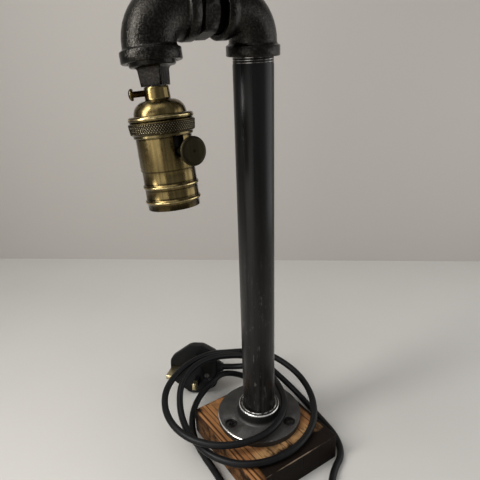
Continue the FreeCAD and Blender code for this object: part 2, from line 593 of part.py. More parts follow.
def terminal_screws():
    """Two slotted screws that hold the wires on top of the core."""
    screw = turned([(0, CORE_TOP - 2), (2.4, CORE_TOP - 2), (2.7, CORE_TOP - 1.7), (2.7, CORE_TOP),
                    (1.5, CORE_TOP), (1.5, CORE_TOP + 4.5), (0, CORE_TOP + 4.5)])
    screw = screw.cut(box((-3, -0.4, CORE_TOP - 2.5), (3, 0.4, CORE_TOP - 1.2)))
    pair = [placed(screw, V(x, 0, 0), FreeCAD.Rotation()) for x in (-9, 9)]
    return core_placed(Part.makeCompound(pair))


def switch_key():
    """Round knob on a stem that turns in the core's bearing."""
    back = KEY_KNOB_FACE - KNOB_THICKNESS
    key = turned([(0, KEY_INNER), (KEY_STEM_R, KEY_INNER), (KEY_STEM_R, KEY_NECK),
                  (KEY_STEM_R + 1.1, KEY_NECK + 0.8), (KEY_STEM_R + 1.1, back),
                  (KNOB_R - KNOB_ROUND, back), (KNOB_R, back + KNOB_ROUND),
                  (KNOB_R, KEY_KNOB_FACE - KNOB_ROUND), (KNOB_R - KNOB_ROUND, KEY_KNOB_FACE - 0.1),
                  (0, KEY_KNOB_FACE)])
    return core_placed(key_placed(key))


def switch_cam():
    """Square cam on the stem's inner end, inside the core's pocket."""
    half = CAM_SIDE / 2
    corners = [(-half, -half), (half, -half), (half, half), (-half, half)]
    cam = rounded_plate(corners, 1.0, KEY_INNER - CAM_LENGTH, KEY_INNER)
    return core_placed(key_placed(cam))


def switch_blades():
    """Two spring blades that the cam's flats rest between."""
    floor = core_floor()
    inner = CAM_SIDE * math.sqrt(2) / 2 + JOINT_GAP
    half = SWITCH_POCKET / 2
    blades = []
    for side in (-1, 1):
        low, high = sorted((side * inner, side * (inner + BLADE_THICKNESS)))
        blade = box((low, -BLADE_WIDTH / 2, KEY_DEPTH - half + 0.5), (high, BLADE_WIDTH / 2, floor - 4))
        low, high = sorted((side * inner, side * half))
        foot = box((low, -BLADE_WIDTH / 2, floor - 4), (high, BLADE_WIDTH / 2, floor - 3.3))
        blades.append(blade.fuse(foot).removeSplitter())
    return core_placed(Part.makeCompound(blades))


# --- flex ---------------------------------------------------------------------------------------------
def bend_radii(points):
    """Radius of the arc at each corner: as large as the two runs beside it allow."""
    radii = [0.0] * len(points)
    for i in range(1, len(points) - 1):
        back, on = points[i] - points[i - 1], points[i + 1] - points[i]
        half_turn = back.getAngle(on) / 2
        radii[i] = FLEX_BEND_SHARE * min(back.Length, on.Length) / math.tan(half_turn)
    return radii


def swept_flex(name, edges):
    """A round flex along straight runs and tangent arcs, with its volume compared."""
    path = Part.Wire(edges)
    start = edges[0].valueAt(edges[0].FirstParameter)
    direction = edges[0].tangentAt(edges[0].FirstParameter)
    section = Part.Wire(Part.makeCircle(FLEX_R, start, direction))
    solid = path.makePipeShell([section], True, False)
    expected = math.pi * FLEX_R ** 2 * path.Length
    print(f"{name}: length {path.Length:.1f}, volume ratio {solid.Volume / expected:.4f}")
    return solid


def free_route():
    """Corners of the free flex, once round the block and twice round the riser, and its cuts."""
    start = V(GROOVE_X, FLEX_MEETS_Y, EXIT_HEIGHT)
    floor_turn = [(-33, -48.8, 8), (-29.1, -58.9, 10), (-21.9, -66.4, 13.3), (-12, -70.4, 17.2),
                  (-1.2, -68.6, 21.3), (10, -63.2, 22.3), (29.1, -58.6, 16.2),
                  (44.3, -45.3, 11.4), (53.2, -27.1, 7.5), (55, -6.7, 4.7), (54.8, 13.7, 3.3),
                  (56.4, 34.2, 3.2), (55.1, 54.8, 3.2), (45.3, 73, 3.2), (29.2, 86.2, 3.1),
                  (9, 90.2, 3.1), (-9.6, 81.6, 3.1), (-25.6, 68.2, 3.2), (-42.6, 60.8, 3.1),
                  (-52.4, 43.5, 3.3), (-55.6, 21.5, 3.1), (-58.1, 0.2, 3.1), (-59.1, -20.2, 5),
                  (-54.2, -38.4, 13.2), (-46.6, -54.8, 23.6)]
    first_turn = [(-31.1, -63.3, 34.3), (-12, -65.8, 41.6), (7.9, -67.5, 46.9),
                  (28.4, -65.5, 47.6), (46.6, -57.3, 41.8), (57.1, -41.4, 33.4),
                  (62.6, -22.2, 28.2), (63.1, -1.6, 26.7), (58.6, 18.6, 26.6), (47.5, 36, 26.9),
                  (29.7, 46.7, 26.7), (9.3, 50.3, 26.5), (-11.1, 47.5, 26.6), (-29.5, 38.2, 27.1),
                  (-43.7, 23.2, 28.4), (-52.9, 4.8, 30.2), (-56.3, -15.4, 32.5),
                  (-54.1, -35.7, 34.4)]
    second_turn = [(-49.5, -56.1, 34.2), (-35.2, -70.8, 34.1), (-15.1, -74.2, 39),
                   (4.1, -73.6, 46.6), (24.6, -72.7, 47.9), (44.6, -68.1, 45.5), (62, -57.4, 42),
                   (72, -39.5, 38.4), (73.6, -19, 35.6), (67.4, 0.7, 34.2), (54.5, 16.9, 33.8),
                   (36.6, 27.3, 34.1), (16.2, 31, 34.7), (-3.9, 26, 35.2), (-19.6, 12.4, 35.2),
                   (-28.8, -6, 34.4), (-33.4, -26.1, 33.1), (-34.6, -46.7, 30.4),
                   (-25.6, -59.8, 26.3), (-11.6, -72.6, 23.6)]
    entry = plug_point(0, CORD_END, -OUTLET_DEPTH)
    return [start] + [V(*p) for p in floor_turn + first_turn + second_turn] + [entry], (
        len(floor_turn), len(floor_turn) + len(first_turn))


def free_flex():
    """The free flex as three tubes that meet face to face in the middle of a run."""
    points, cuts = free_route()
    radii = bend_radii(points)
    print("flex radii:", " ".join(f"{r:.0f}" for r in radii[1:-1]))
    edges = corner_edges(points, radii)
    pieces, piece = [], []
    for index, edge in enumerate(edges):
        run = index // 2
        if index % 2 == 0 and run in cuts:
            start, end = (v.Point for v in edge.Vertexes)
            middle = (start + end) * 0.5
            piece.append(Part.LineSegment(start, middle).toShape())
            pieces.append(piece)
            piece = [Part.LineSegment(middle, end).toShape()]
        else:
            piece.append(edge)
    return pieces + [piece]


def inner_flex(name, points, radius):
    """A length of flex held inside the lamp."""
    radii = [radius] * len(points)
    return swept_flex(name, corner_edges([V(*p) for p in points], radii))


def inner_flexes():
    """The flex inside the block and riser, inside the arm, and inside the head."""
    riser_top = ARM_HEIGHT - ELBOW_REACH + THREAD_DEPTH
    bend = ELBOW_REACH - ELBOW_STRAIGHT
    arm_end = ARM_LENGTH / 2
    riser = inner_flex("riser_flex", [(GROOVE_X, FLEX_MEETS_Y, EXIT_HEIGHT),
                                      (GROOVE_X, GROOVE_BEND_Y, EXIT_HEIGHT), (0, 0, EXIT_HEIGHT),
                                      (0, 0, riser_top)], 6.0)
    arm = inner_flex("arm_flex", [(0, 0, riser_top + JOINT_GAP), (0, 0, ARM_HEIGHT),
                                  (arm_end, 0, ARM_HEIGHT)], bend * 0.75)
    start = arm_end + JOINT_GAP - ARM_LENGTH
    head = inner_flex("head_flex", [(start, 0, 0), (0, 0, 0),
                                    (0, 0, -ELBOW_REACH - CORE_TOP + JOINT_GAP)], bend * 0.75)
    head = placed(head, V(ARM_LENGTH, 0, ARM_HEIGHT), FreeCAD.Rotation(V(1, 0, 0), HEAD_TILT))
    return {"riser_flex": riser, "arm_flex": arm, "head_flex": head}


# --- plug ------------------------------------------------------------------------------------------------
def plug_corners(scale_x=1.0, scale_y=1.0, inset=0.0):
    """Outline of the plug seen from its pins, from the outlet end round to the earth end."""
    middle = (PLUG_CROWN + PLUG_FOOT) / 2
    half = [(PLUG_FOOT_WIDTH, PLUG_FOOT), (PLUG_HALF_WIDTH, -4.0), (PLUG_HALF_WIDTH, 8.0),
            (PLUG_CROWN_WIDTH, PLUG_CROWN)]
    right = []
    for x, y in half:
        offset = y - middle
        shrink_y = (abs(offset) - inset) / abs(offset) if abs(offset) > 10 else 1.0
        right.append(((x - inset) * scale_x, middle + offset * scale_y * shrink_y))
    return right + [(-x, y) for x, y in reversed(right)]


def plug_section(height, scale_x=1.0, scale_y=1.0, inset=0.0):
    """One rounded outline of the plug at a height."""
    points = [V(x, y, height) for x, y in plug_corners(scale_x, scale_y, inset)]
    radius = (PLUG_CORNER_R - inset) * min(scale_x, scale_y)
    radii = [radius * 0.9, radius, radius, radius * 1.1] + [radius * 1.1, radius, radius, radius * 0.9]
    return Part.Wire(Part.__sortEdges__(corner_edges(points, radii, True)))


def outlet_bore(radius):
    """A bore through the outlet end on the flex axis."""
    return Part.makeCylinder(radius, 30, V(0, PLUG_FOOT - 10, -OUTLET_DEPTH), V(0, 1, 0))


def plug_base():
    """Pin plate with a rim, pockets for the pins, fuse and cover screw, and half the outlet."""
    depth = PLUG_BASE_DEPTH
    body = Part.Face(plug_section(-depth)).extrude(V(0, 0, depth))
    face = [e for e in body.Edges if e.BoundBox.ZMin > -1e-6]
    body = body.makeFillet(0.8, face)
    hollow = Part.Face(plug_section(-depth - 1, inset=PLUG_WALL)).extrude(V(0, 0, depth + 1 - 3.2))
    tools = [hollow, outlet_bore(OUTLET_R)]
    for x in (-PIN_SPACING / 2, PIN_SPACING / 2):
        tools.append(pin_solid(x, 0, PIN_WIDTH, PIN_THICKNESS, PIN_LENGTH, FIT))
    tools.append(pin_solid(0, EARTH_OFFSET, EARTH_WIDTH, EARTH_THICKNESS, EARTH_LENGTH, FIT))
    screw = cylinder(COVER_SCREW_R + FIT, -1.2, 1).fuse(cylinder(1.5 + FIT, -5, 1))
    tools.append(placed(screw, V(COVER_SCREW_X, COVER_SCREW_Y, 0), FreeCAD.Rotation()))
    return plug_placed(body.cut(tools))


def plug_cover():
    """Domed cover with a waisted grip, hollow, with the other half of the outlet."""
    rim = -PLUG_BASE_DEPTH
    mid = rim - 0.45 * PLUG_COVER_DEPTH
    back = rim - PLUG_COVER_DEPTH
    outer = Part.makeLoft([plug_section(rim, 0.985, 0.985), plug_section(mid, *COVER_MID)], True, True)
    outer = outer.fuse(Part.makeLoft([plug_section(mid, *GRIP_ROOT), plug_section(back, *GRIP_TIP)],
                                     True, True))
    outer = outer.removeSplitter()
    step = mid + PLUG_WALL
    inner = Part.makeLoft([plug_section(rim + 0.01, inset=PLUG_WALL),
                           plug_section(step, *COVER_MID, PLUG_WALL)], True, True)
    inner = inner.fuse(Part.makeLoft([plug_section(step + 0.01, *GRIP_ROOT, PLUG_WALL),
                                      plug_section(back + PLUG_WALL, *GRIP_TIP, PLUG_WALL)],
                                     True, True))
    cover = outer.cut([inner, outlet_bore(OUTLET_R)])
    return plug_placed(cover)


def pin_solid(x, y, width, thickness, length, gap=0.0):
    """A rectangular pin with a bevelled tip, or with a gap the pocket for it."""
    half_x, half_y = width / 2 + gap, thickness / 2 + gap
    bar = box((x - half_x, y - half_y, -PIN_ROOT - (1 if gap else 0)), (x + half_x, y + half_y, length))
    if gap:
        return bar
    tip = [e for e in bar.Edges if e.BoundBox.ZMin > length - 1e-6]
    return bar.makeChamfer(PIN_BEVEL, tip)


def blade_pin(side):
    """Line or neutral pin, narrower where its insulating sleeve is."""
    x = side * PIN_SPACING / 2
    pin = pin_solid(x, 0, PIN_WIDTH, PIN_THICKNESS, PIN_LENGTH)
    sleeve = pin_sleeve(side)
    return pin.cut(sleeve)


def pin_sleeve(side):
    """Insulating sleeve flush with the pin's brass end."""
    x = side * PIN_SPACING / 2
    wall = PIN_SLEEVE_WALL
    outer = box((x - PIN_WIDTH / 2, -PIN_THICKNESS / 2, 0),
                (x + PIN_WIDTH / 2, PIN_THICKNESS / 2, PIN_SLEEVE_LENGTH))
    inner = box((x - PIN_WIDTH / 2 + wall, -PIN_THICKNESS / 2 + wall, -1),
                (x + PIN_WIDTH / 2 - wall, PIN_THICKNESS / 2 - wall, PIN_SLEEVE_LENGTH + 1))
    return outer.cut(inner)


def plug_fuse():
    """Cartridge fuse beside the line pin."""
    fuse = cylinder(FUSE_R, -FUSE_LENGTH / 2, FUSE_LENGTH / 2)
    return plug_placed(placed(fuse, V(FUSE_X, FUSE_Y, -FUSE_DEPTH), FreeCAD.Rotation(V(1, 0, 0), 90)))


def fuse_clips():
    """Two sprung clips that hold the fuse's caps on the base."""
    clips = []
    grip = FUSE_R + 0.7
    for y in (FUSE_Y - FUSE_LENGTH / 2 + 3, FUSE_Y + FUSE_LENGTH / 2 - 3):
        clip = box((FUSE_X - grip, y - 2, -FUSE_DEPTH - 0.5), (FUSE_X + grip, y + 2, -3.2))
        bore = Part.makeCylinder(FUSE_R + FIT, 6, V(FUSE_X, y - 3, -FUSE_DEPTH), V(0, 1, 0))
        clips.append(clip.cut(bore))
    return plug_placed(Part.makeCompound(clips))


def cord_grip():
    """Bar that clamps the flex to the base just inside the outlet."""
    y = PLUG_FOOT + PLUG_WALL + 3.4
    bar = box((-7, y - 2.0, -OUTLET_DEPTH - 4.2), (7, y + 2.0, -3.2))
    return plug_placed(bar.cut(outlet_bore(FLEX_R + FIT)))


def flex_guard():
    """Ribbed rubber guard round the flex at the plug's outlet."""
    pitch = (PLUG_FOOT - GUARD_END) / GUARD_RIBS
    profile = [(OUTLET_R, 0)]
    for k in range(GUARD_RIBS):
        radius = GUARD_R + (GUARD_TIP_R - GUARD_R) * k / (GUARD_RIBS - 1)
        start = k * pitch
        profile += [(radius, start), (radius, start + 0.55 * pitch), (radius - 1.1, start + 0.7 * pitch),
                    (radius - 1.1, start + pitch)]
    profile.append((OUTLET_R, GUARD_RIBS * pitch))
    return plug_placed(placed(turned(profile), V(0, PLUG_FOOT, -OUTLET_DEPTH),
                              FreeCAD.Rotation(V(1, 0, 0), 90)))


def cover_screw():
    """Slotted screw in the pin face that holds the cover."""
    screw = cylinder(COVER_SCREW_R, -1.2, -0.2).fuse(cylinder(1.5, -5, -1.2)).removeSplitter()
    screw = screw.cut(box((-3, -0.4, -0.8), (3, 0.4, 0)))
    return plug_placed(placed(screw, V(COVER_SCREW_X, COVER_SCREW_Y, 0), FreeCAD.Rotation()))


def plug_pieces():
    """Every piece of the plug by node name."""
    earth = pin_solid(0, EARTH_OFFSET, EARTH_WIDTH, EARTH_THICKNESS, EARTH_LENGTH)
    sleeves = Part.makeCompound([pin_sleeve(-1), pin_sleeve(1)])
    return {"plug_base": plug_base(), "plug_cover": plug_cover(), "earth_pin": plug_placed(earth),
            "line_pin": plug_placed(blade_pin(-1)), "neutral_pin": plug_placed(blade_pin(1)),
            "pin_sleeves": plug_placed(sleeves), "plug_fuse": plug_fuse(), "fuse_clips": fuse_clips(),
            "cord_grip": cord_grip(), "flex_guard": flex_guard(), "cover_screw": cover_screw()}


def all_nodes():
    """Every node of the lamp by name."""
    nodes = {make.__name__: make() for make in (
        base_block, channel_cover, floor_flange, flange_screws, riser_pipe, exit_sleeve,
        upper_elbow, hex_nipple, drop_elbow, square_head_plug, threaded_tube, tube_lock_nut,
        holder_cap, neck_lock_screw, knurled_ring, holder_shell, insulating_liner, ceramic_core,
        screw_shell, centre_contact, terminal_screws, switch_key, switch_cam, switch_blades)}
    nodes.update(inner_flexes())
    for name, edges in zip(("flex_floor_turn", "flex_first_turn", "flex_second_turn"), free_flex()):
        nodes[name] = swept_flex(name, edges)
    nodes.update(plug_pieces())
    return nodes


def main():
    """Write one STEP file per node."""
    os.makedirs("parts", exist_ok=True)
    for name, shape in all_nodes().items():
        if not shape.isValid():
            print("invalid:", name)
        shape.exportStep(f"parts/{name}.step")


if __name__ == "__main__":
    main()
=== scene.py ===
"""Looks of the pipe table lamp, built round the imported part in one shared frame, in metres."""

import json  # noqa: E402
import logging  # noqa: E402
import math  # noqa: E402
from dataclasses import dataclass  # noqa: E402
from enum import Enum  # noqa: E402
from functools import reduce  # noqa: E402
from typing import Sequence  # noqa: E402

import bmesh  # noqa: E402
import bpy  # noqa: E402
from mathutils import Matrix, Vector  # noqa: E402

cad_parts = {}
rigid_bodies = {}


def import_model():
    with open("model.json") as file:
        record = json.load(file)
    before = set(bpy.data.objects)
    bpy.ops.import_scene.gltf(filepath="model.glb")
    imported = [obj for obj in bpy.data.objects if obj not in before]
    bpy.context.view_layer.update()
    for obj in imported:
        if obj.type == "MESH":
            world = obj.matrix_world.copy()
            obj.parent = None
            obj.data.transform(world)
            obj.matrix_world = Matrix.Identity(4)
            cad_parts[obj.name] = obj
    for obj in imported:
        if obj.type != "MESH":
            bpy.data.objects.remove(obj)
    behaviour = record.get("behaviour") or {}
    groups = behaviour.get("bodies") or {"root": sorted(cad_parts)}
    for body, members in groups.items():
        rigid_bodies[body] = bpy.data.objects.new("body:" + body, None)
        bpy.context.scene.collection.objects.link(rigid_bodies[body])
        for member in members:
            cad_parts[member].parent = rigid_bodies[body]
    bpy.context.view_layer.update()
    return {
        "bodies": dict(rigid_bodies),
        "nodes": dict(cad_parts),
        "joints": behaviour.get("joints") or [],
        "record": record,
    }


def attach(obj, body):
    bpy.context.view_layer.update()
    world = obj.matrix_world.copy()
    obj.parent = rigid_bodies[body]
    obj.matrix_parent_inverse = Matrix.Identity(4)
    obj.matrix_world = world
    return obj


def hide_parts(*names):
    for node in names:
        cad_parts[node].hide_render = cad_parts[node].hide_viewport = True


LOG = logging.getLogger("pipe_lamp")
MM = 0.001
TO_METRES = Matrix.Scale(MM, 4)
Rgb = tuple[float, float, float]
Point = tuple[float, float, float]
Span = tuple[float, float]  # two limits
Corner = tuple[float, float]  # radius and height in millimetres
Socket = bpy.types.NodeSocket

HEAD_TILT = math.radians(9.0)
ARM_HEIGHT, ARM_LENGTH, ELBOW_REACH = 347.0, 71.6, 27.0  # millimetres
NOISE_MIDDLE: Span = (0.3, 0.7)  # where most of a noise's values lie
SAME_PLACE = 1e-6  # CAD corners nearer than this, in metres, are one


class Body(Enum):
    """The rigid bodies that pieces ride on."""

    STAND = "stand"
    ARM = "arm"
    DROP = "drop"
    HOLDER = "holder"
    LOCK_SCREW = "lock_screw"
    KEY = "key"


def head_frame() -> Matrix:
    """Place the head, which hangs from the drop elbow.

    Returns:
        The matrix from head millimetres (z down the head's axis) to row metres.
    """
    turn = Matrix.Rotation(math.pi + HEAD_TILT, 4, "X")
    down = Vector((0.0, math.sin(HEAD_TILT), -math.cos(HEAD_TILT)))
    origin = (Vector((ARM_LENGTH, 0.0, ARM_HEIGHT)) + down * ELBOW_REACH) * MM
    return Matrix.Translation(origin) @ turn @ TO_METRES


# --- node trees -------------------------------------------------------------------------------
class Graph:
    """Writes nodes and links into one shader or group tree."""

    def __init__(self, tree: bpy.types.NodeTree) -> None:
        """Keep the tree that the nodes go into."""
        self.tree = tree

    def put(self, socket: Socket, value: object) -> None:
        """Link an input to what feeds it, or set its value.

        Args:
            socket: the input.
            value: a socket, a number, a vector, or a colour without its alpha.
        """
        if isinstance(value, Socket):
            self.tree.links.new(value, socket)
        elif socket.type == "RGBA":
            socket.default_value = (*value, 1.0)
        else:
            socket.default_value = value

    def add(self, kind: str, inputs: dict | None = None, **settings: object) -> bpy.types.Node:
        """Add a node.

        Args:
            kind: the node's type name without its ShaderNode prefix.
            inputs: input name or index to a value or to a socket that feeds it.
            settings: attributes of the node.

        Returns:
            The new node.
        """
        node = self.tree.nodes.new(f"ShaderNode{kind}")
        for name, value in settings.items():
            setattr(node, name, value)
        for key, value in (inputs or {}).items():
            self.put(node.inputs[key], value)
        return node

    def group(self, tree: bpy.types.NodeTree, **inputs: object) -> tuple[Socket, ...]:
        """Place a shared group with its own values and return its outputs."""
        return tuple(self.add("Group", inputs, node_tree=tree).outputs)

    def math(self, operation: str, a: object, b: object = 0.0, clamp: bool = False) -> Socket:
        """Return the result of one arithmetic step."""
        return self.add("Math", {0: a, 1: b}, operation=operation, use_clamp=clamp).outputs[0]

    def plus(self, a: object, b: object) -> Socket:
        """Return the sum of two values."""
        return self.math("ADD", a, b)

    def less(self, a: object, b: object) -> Socket:
        """Return a less b."""
        return self.math("SUBTRACT", a, b)

    def apart(self, a: object, b: object) -> Socket:
        """Return how far apart two values are."""
        return self.math("ABSOLUTE", self.less(a, b))

    def times(self, *values: object) -> Socket:
        """Return the product of the values."""
        return reduce(lambda a, b: self.math("MULTIPLY", a, b), values)

    def most(self, *values: object) -> Socket:
        """Return the greatest of the values."""
        return reduce(lambda a, b: self.math("MAXIMUM", a, b), values)

    def off_axis(self, x: Socket, y: Socket) -> Socket:
        """Return the distance that two offsets make."""
        return self.math("SQRT", self.plus(self.times(x, x), self.times(y, y)))

    def span(self, value: Socket, low: float, high: float, to_low: float = 0.0,
             to_high: float = 1.0) -> Socket:
        """Return the value's place between two limits, clamped, mapped to two others."""
        return self.add("MapRange", {0: value, 1: low, 2: high, 3: to_low, 4: to_high},
                        clamp=True).outputs[0]

    def noise(self, vector: Socket, scale: object, detail: float = 4.0,
              roughness: float = 0.55) -> Socket:
        """Return a fractal noise value."""
        return self.add("TexNoise", {"Vector": vector, "Scale": scale, "Detail": detail,
                                     "Roughness": roughness}).outputs[0]

    def stretch(self, vector: Socket, x: float = 1.0, y: float = 1.0, z: float = 1.0,
                turn: Point = (0.0, 0.0, 0.0)) -> Socket:
        """Return coordinates scaled along each axis and turned; under 1 draws a pattern out."""
        return self.add("Mapping", {"Vector": vector, "Rotation": turn,
                                    "Scale": (x, y, z)}).outputs[0]

    def blend(self, share: object, a: object, b: object) -> Socket:
        """Return colour a blended towards colour b."""
        return self.add("Mix", {0: share, 6: a, 7: b}, data_type="RGBA").outputs[2]

    def bump(self, height: Socket, strength: float, distance: float) -> Socket:
        """Return a normal bent by a height in metres times a distance."""
        return self.add("Bump", {"Height": height, "Strength": strength,
                                 "Distance": distance}).outputs[0]

    def split(self, vector: Socket) -> tuple[Socket, ...]:
        """Return a vector's three parts."""
        return tuple(self.add("SeparateXYZ", {0: vector}).outputs)


class GroupTree(Graph):
    """A shader group in the making: a Vector and numbers go in, values come out."""

    def __init__(self, name: str, outputs: Sequence[str], **defaults: float) -> None:
        """Make the group's sockets.

        Args:
            name: the group's name.
            outputs: the name of each output.
            defaults: the name and default of each number that goes in.
        """
        super().__init__(bpy.data.node_groups.new(name, "ShaderNodeTree"))
        face = self.tree.interface
        face.new_socket("Vector", in_out="INPUT", socket_type="NodeSocketVector")
        for label, default in defaults.items():
            socket = face.new_socket(label, in_out="INPUT", socket_type="NodeSocketFloat")
            socket.default_value = default
        for label in outputs:
            face.new_socket(label, in_out="OUTPUT", socket_type="NodeSocketFloat")
        source = self.tree.nodes.new("NodeGroupInput")
        self.given = {socket.name: socket for socket in source.outputs if socket.name}

    def close(self, **results: Socket) -> bpy.types.NodeTree:
        """Link the results to the outputs.

        Args:
            results: the socket that feeds each output.

        Returns:
            The finished group.
        """
        sink = self.tree.nodes.new("NodeGroupOutput")
        for key, socket in results.items():
            self.tree.links.new(socket, sink.inputs[key])
        return self.tree


class Groups:
    """The shader groups that several finishes share."""

    def __init__(self) -> None:
        """Build each group once."""
        self.grain, self.wear = self._grain(), self._wear()
        self.scratches, self.dust = self._scratches(), self._dust()

    @staticmethod
    def _grain() -> bpy.types.NodeTree:
        """Build two sizes of random grain.

        Returns:
            The group, which puts out a slow tone and a fine height.
        """
        g = GroupTree("grain", ("Tone", "Height"), Coarse=60.0, Fine=900.0)
        tone = g.noise(g.given["Vector"], g.given["Coarse"], 5.0, 0.6)
        height = g.noise(g.given["Vector"], g.given["Fine"], 3.0, 0.6)
        return g.close(Tone=g.span(tone, *NOISE_MIDDLE), Height=height)

    @staticmethod
    def _wear() -> bpy.types.NodeTree:
        """Build rubbed places.

        Returns:
            The group, which breaks an edge mask up by noise.
        """
        g = GroupTree("wear", ("Mask",), Edge=0.0, Amount=0.5, Scale=150.0)
        edge = g.given["Edge"]
        speck = g.noise(g.given["Vector"], g.given["Scale"], 6.0, 0.7)
        level = g.plus(g.times(edge, g.given["Amount"]), g.less(speck, 0.5))
        return g.close(Mask=g.times(g.span(level, 0.12, 0.42), g.span(edge, 0.0, 0.3)))

    @staticmethod
    def _scratches() -> bpy.types.NodeTree:
        """Build thin broken lines along the stretched axis of the coordinates.

        Returns:
            The group.
        """
        g = GroupTree("scratches", ("Mask",), Scale=300.0, Amount=0.5)
        lines = g.noise(g.given["Vector"], g.given["Scale"], 2.0, 0.5)
        thin = g.span(g.apart(lines, 0.5), 0.0, 0.02, 1.0, 0.0)
        return g.close(Mask=g.times(thin, g.given["Amount"]))

    @staticmethod
    def _dust() -> bpy.types.NodeTree:
        """Build pale dust where a surface looks up.

        Returns:
            The group.
        """
        g = GroupTree("dust", ("Mask",), Amount=0.3, Scale=250.0)
        up = g.split(g.add("NewGeometry").outputs["Normal"])[2]
        speck = g.noise(g.given["Vector"], g.given["Scale"], 4.0, 0.65)
        mask = g.times(g.span(up, 0.2, 1.0), g.span(speck, 0.45, 0.7), g.given["Amount"])
        return g.close(Mask=mask)


class Surface(Graph):
    """A new material: its tree, its Principled shader and the piece's Object coordinates."""

    def __init__(self, name: str, shared: Groups | None = None) -> None:
        """Start the material.

        Args:
            name: the material's name.
            shared: the shader groups that it may place.
        """
        self.shared = shared
        self.material = bpy.data.materials.new(name)
        self.material.use_nodes = True
        super().__init__(self.material.node_tree)
        self.shader = next(n for n in self.tree.nodes if n.type == "BSDF_PRINCIPLED")
        self.where = self.add("TexCoord").outputs["Object"]

    def feed(self, **values: object) -> None:
        """Set or link the shader's inputs; underscores stand for spaces."""
        for key, value in values.items():
            self.put(self.shader.inputs[key.replace("_", " ")], value)


# --- finishes --------------------------------------------------------------------------------
@dataclass(frozen=True)
class Finish:
    """A finish, which makes one material; its patterns are sized per metre."""

    name: str

    def build(self, shared: Groups) -> bpy.types.Material:
        """Make the material.

        Args:
            shared: the shader groups that several finishes share.

        Returns:
            The painted material.
        """
        surface = Surface(self.name, shared)
        self.paint(surface)
        return surface.material

    def paint(self, g: Surface) -> None:
        """Paint a surface; each kind of finish does it its own way."""
        raise NotImplementedError


@dataclass(frozen=True)
class CastIron(Finish):
    """Dark waxed casting with a gritty skin and rubbed high spots."""

    dark: Rgb = (0.0110, 0.0100, 0.0088)
    light: Rgb = (0.052, 0.048, 0.042)
    dusty: Rgb = (0.30, 0.28, 0.25)
    metal: float = 0.95
    rough: Span = (0.20, 0.34)
    blotch_share: float = 0.18
    speck: Span = (0.46, 0.68)
    speck_share: float = 0.66
    grit: float = 900.0
    grit_depth: float = 0.00030
    dust: float = 0.03

    def paint(self, g: Surface) -> None:
        """Mix the blotches, the specks of the grit and a little dust.

        Args:
            g: the surface.
        """
        tone, height = g.group(g.shared.grain, Vector=g.where, Coarse=45.0, Fine=self.grit)
        share = g.math("ADD", g.times(g.span(height, *self.speck), self.speck_share),
                       g.times(tone, self.blotch_share), clamp=True)
        colour = g.blend(share, self.dark, self.light)
        dust = g.group(g.shared.dust, Vector=g.where, Amount=self.dust, Scale=320.0)[0]
        g.feed(Base_Color=g.blend(dust, colour, self.dusty), Metallic=self.metal,
               Roughness=g.span(tone, 0.0, 1.0, *self.rough),
               Normal=g.bump(height, 0.9, self.grit_depth))


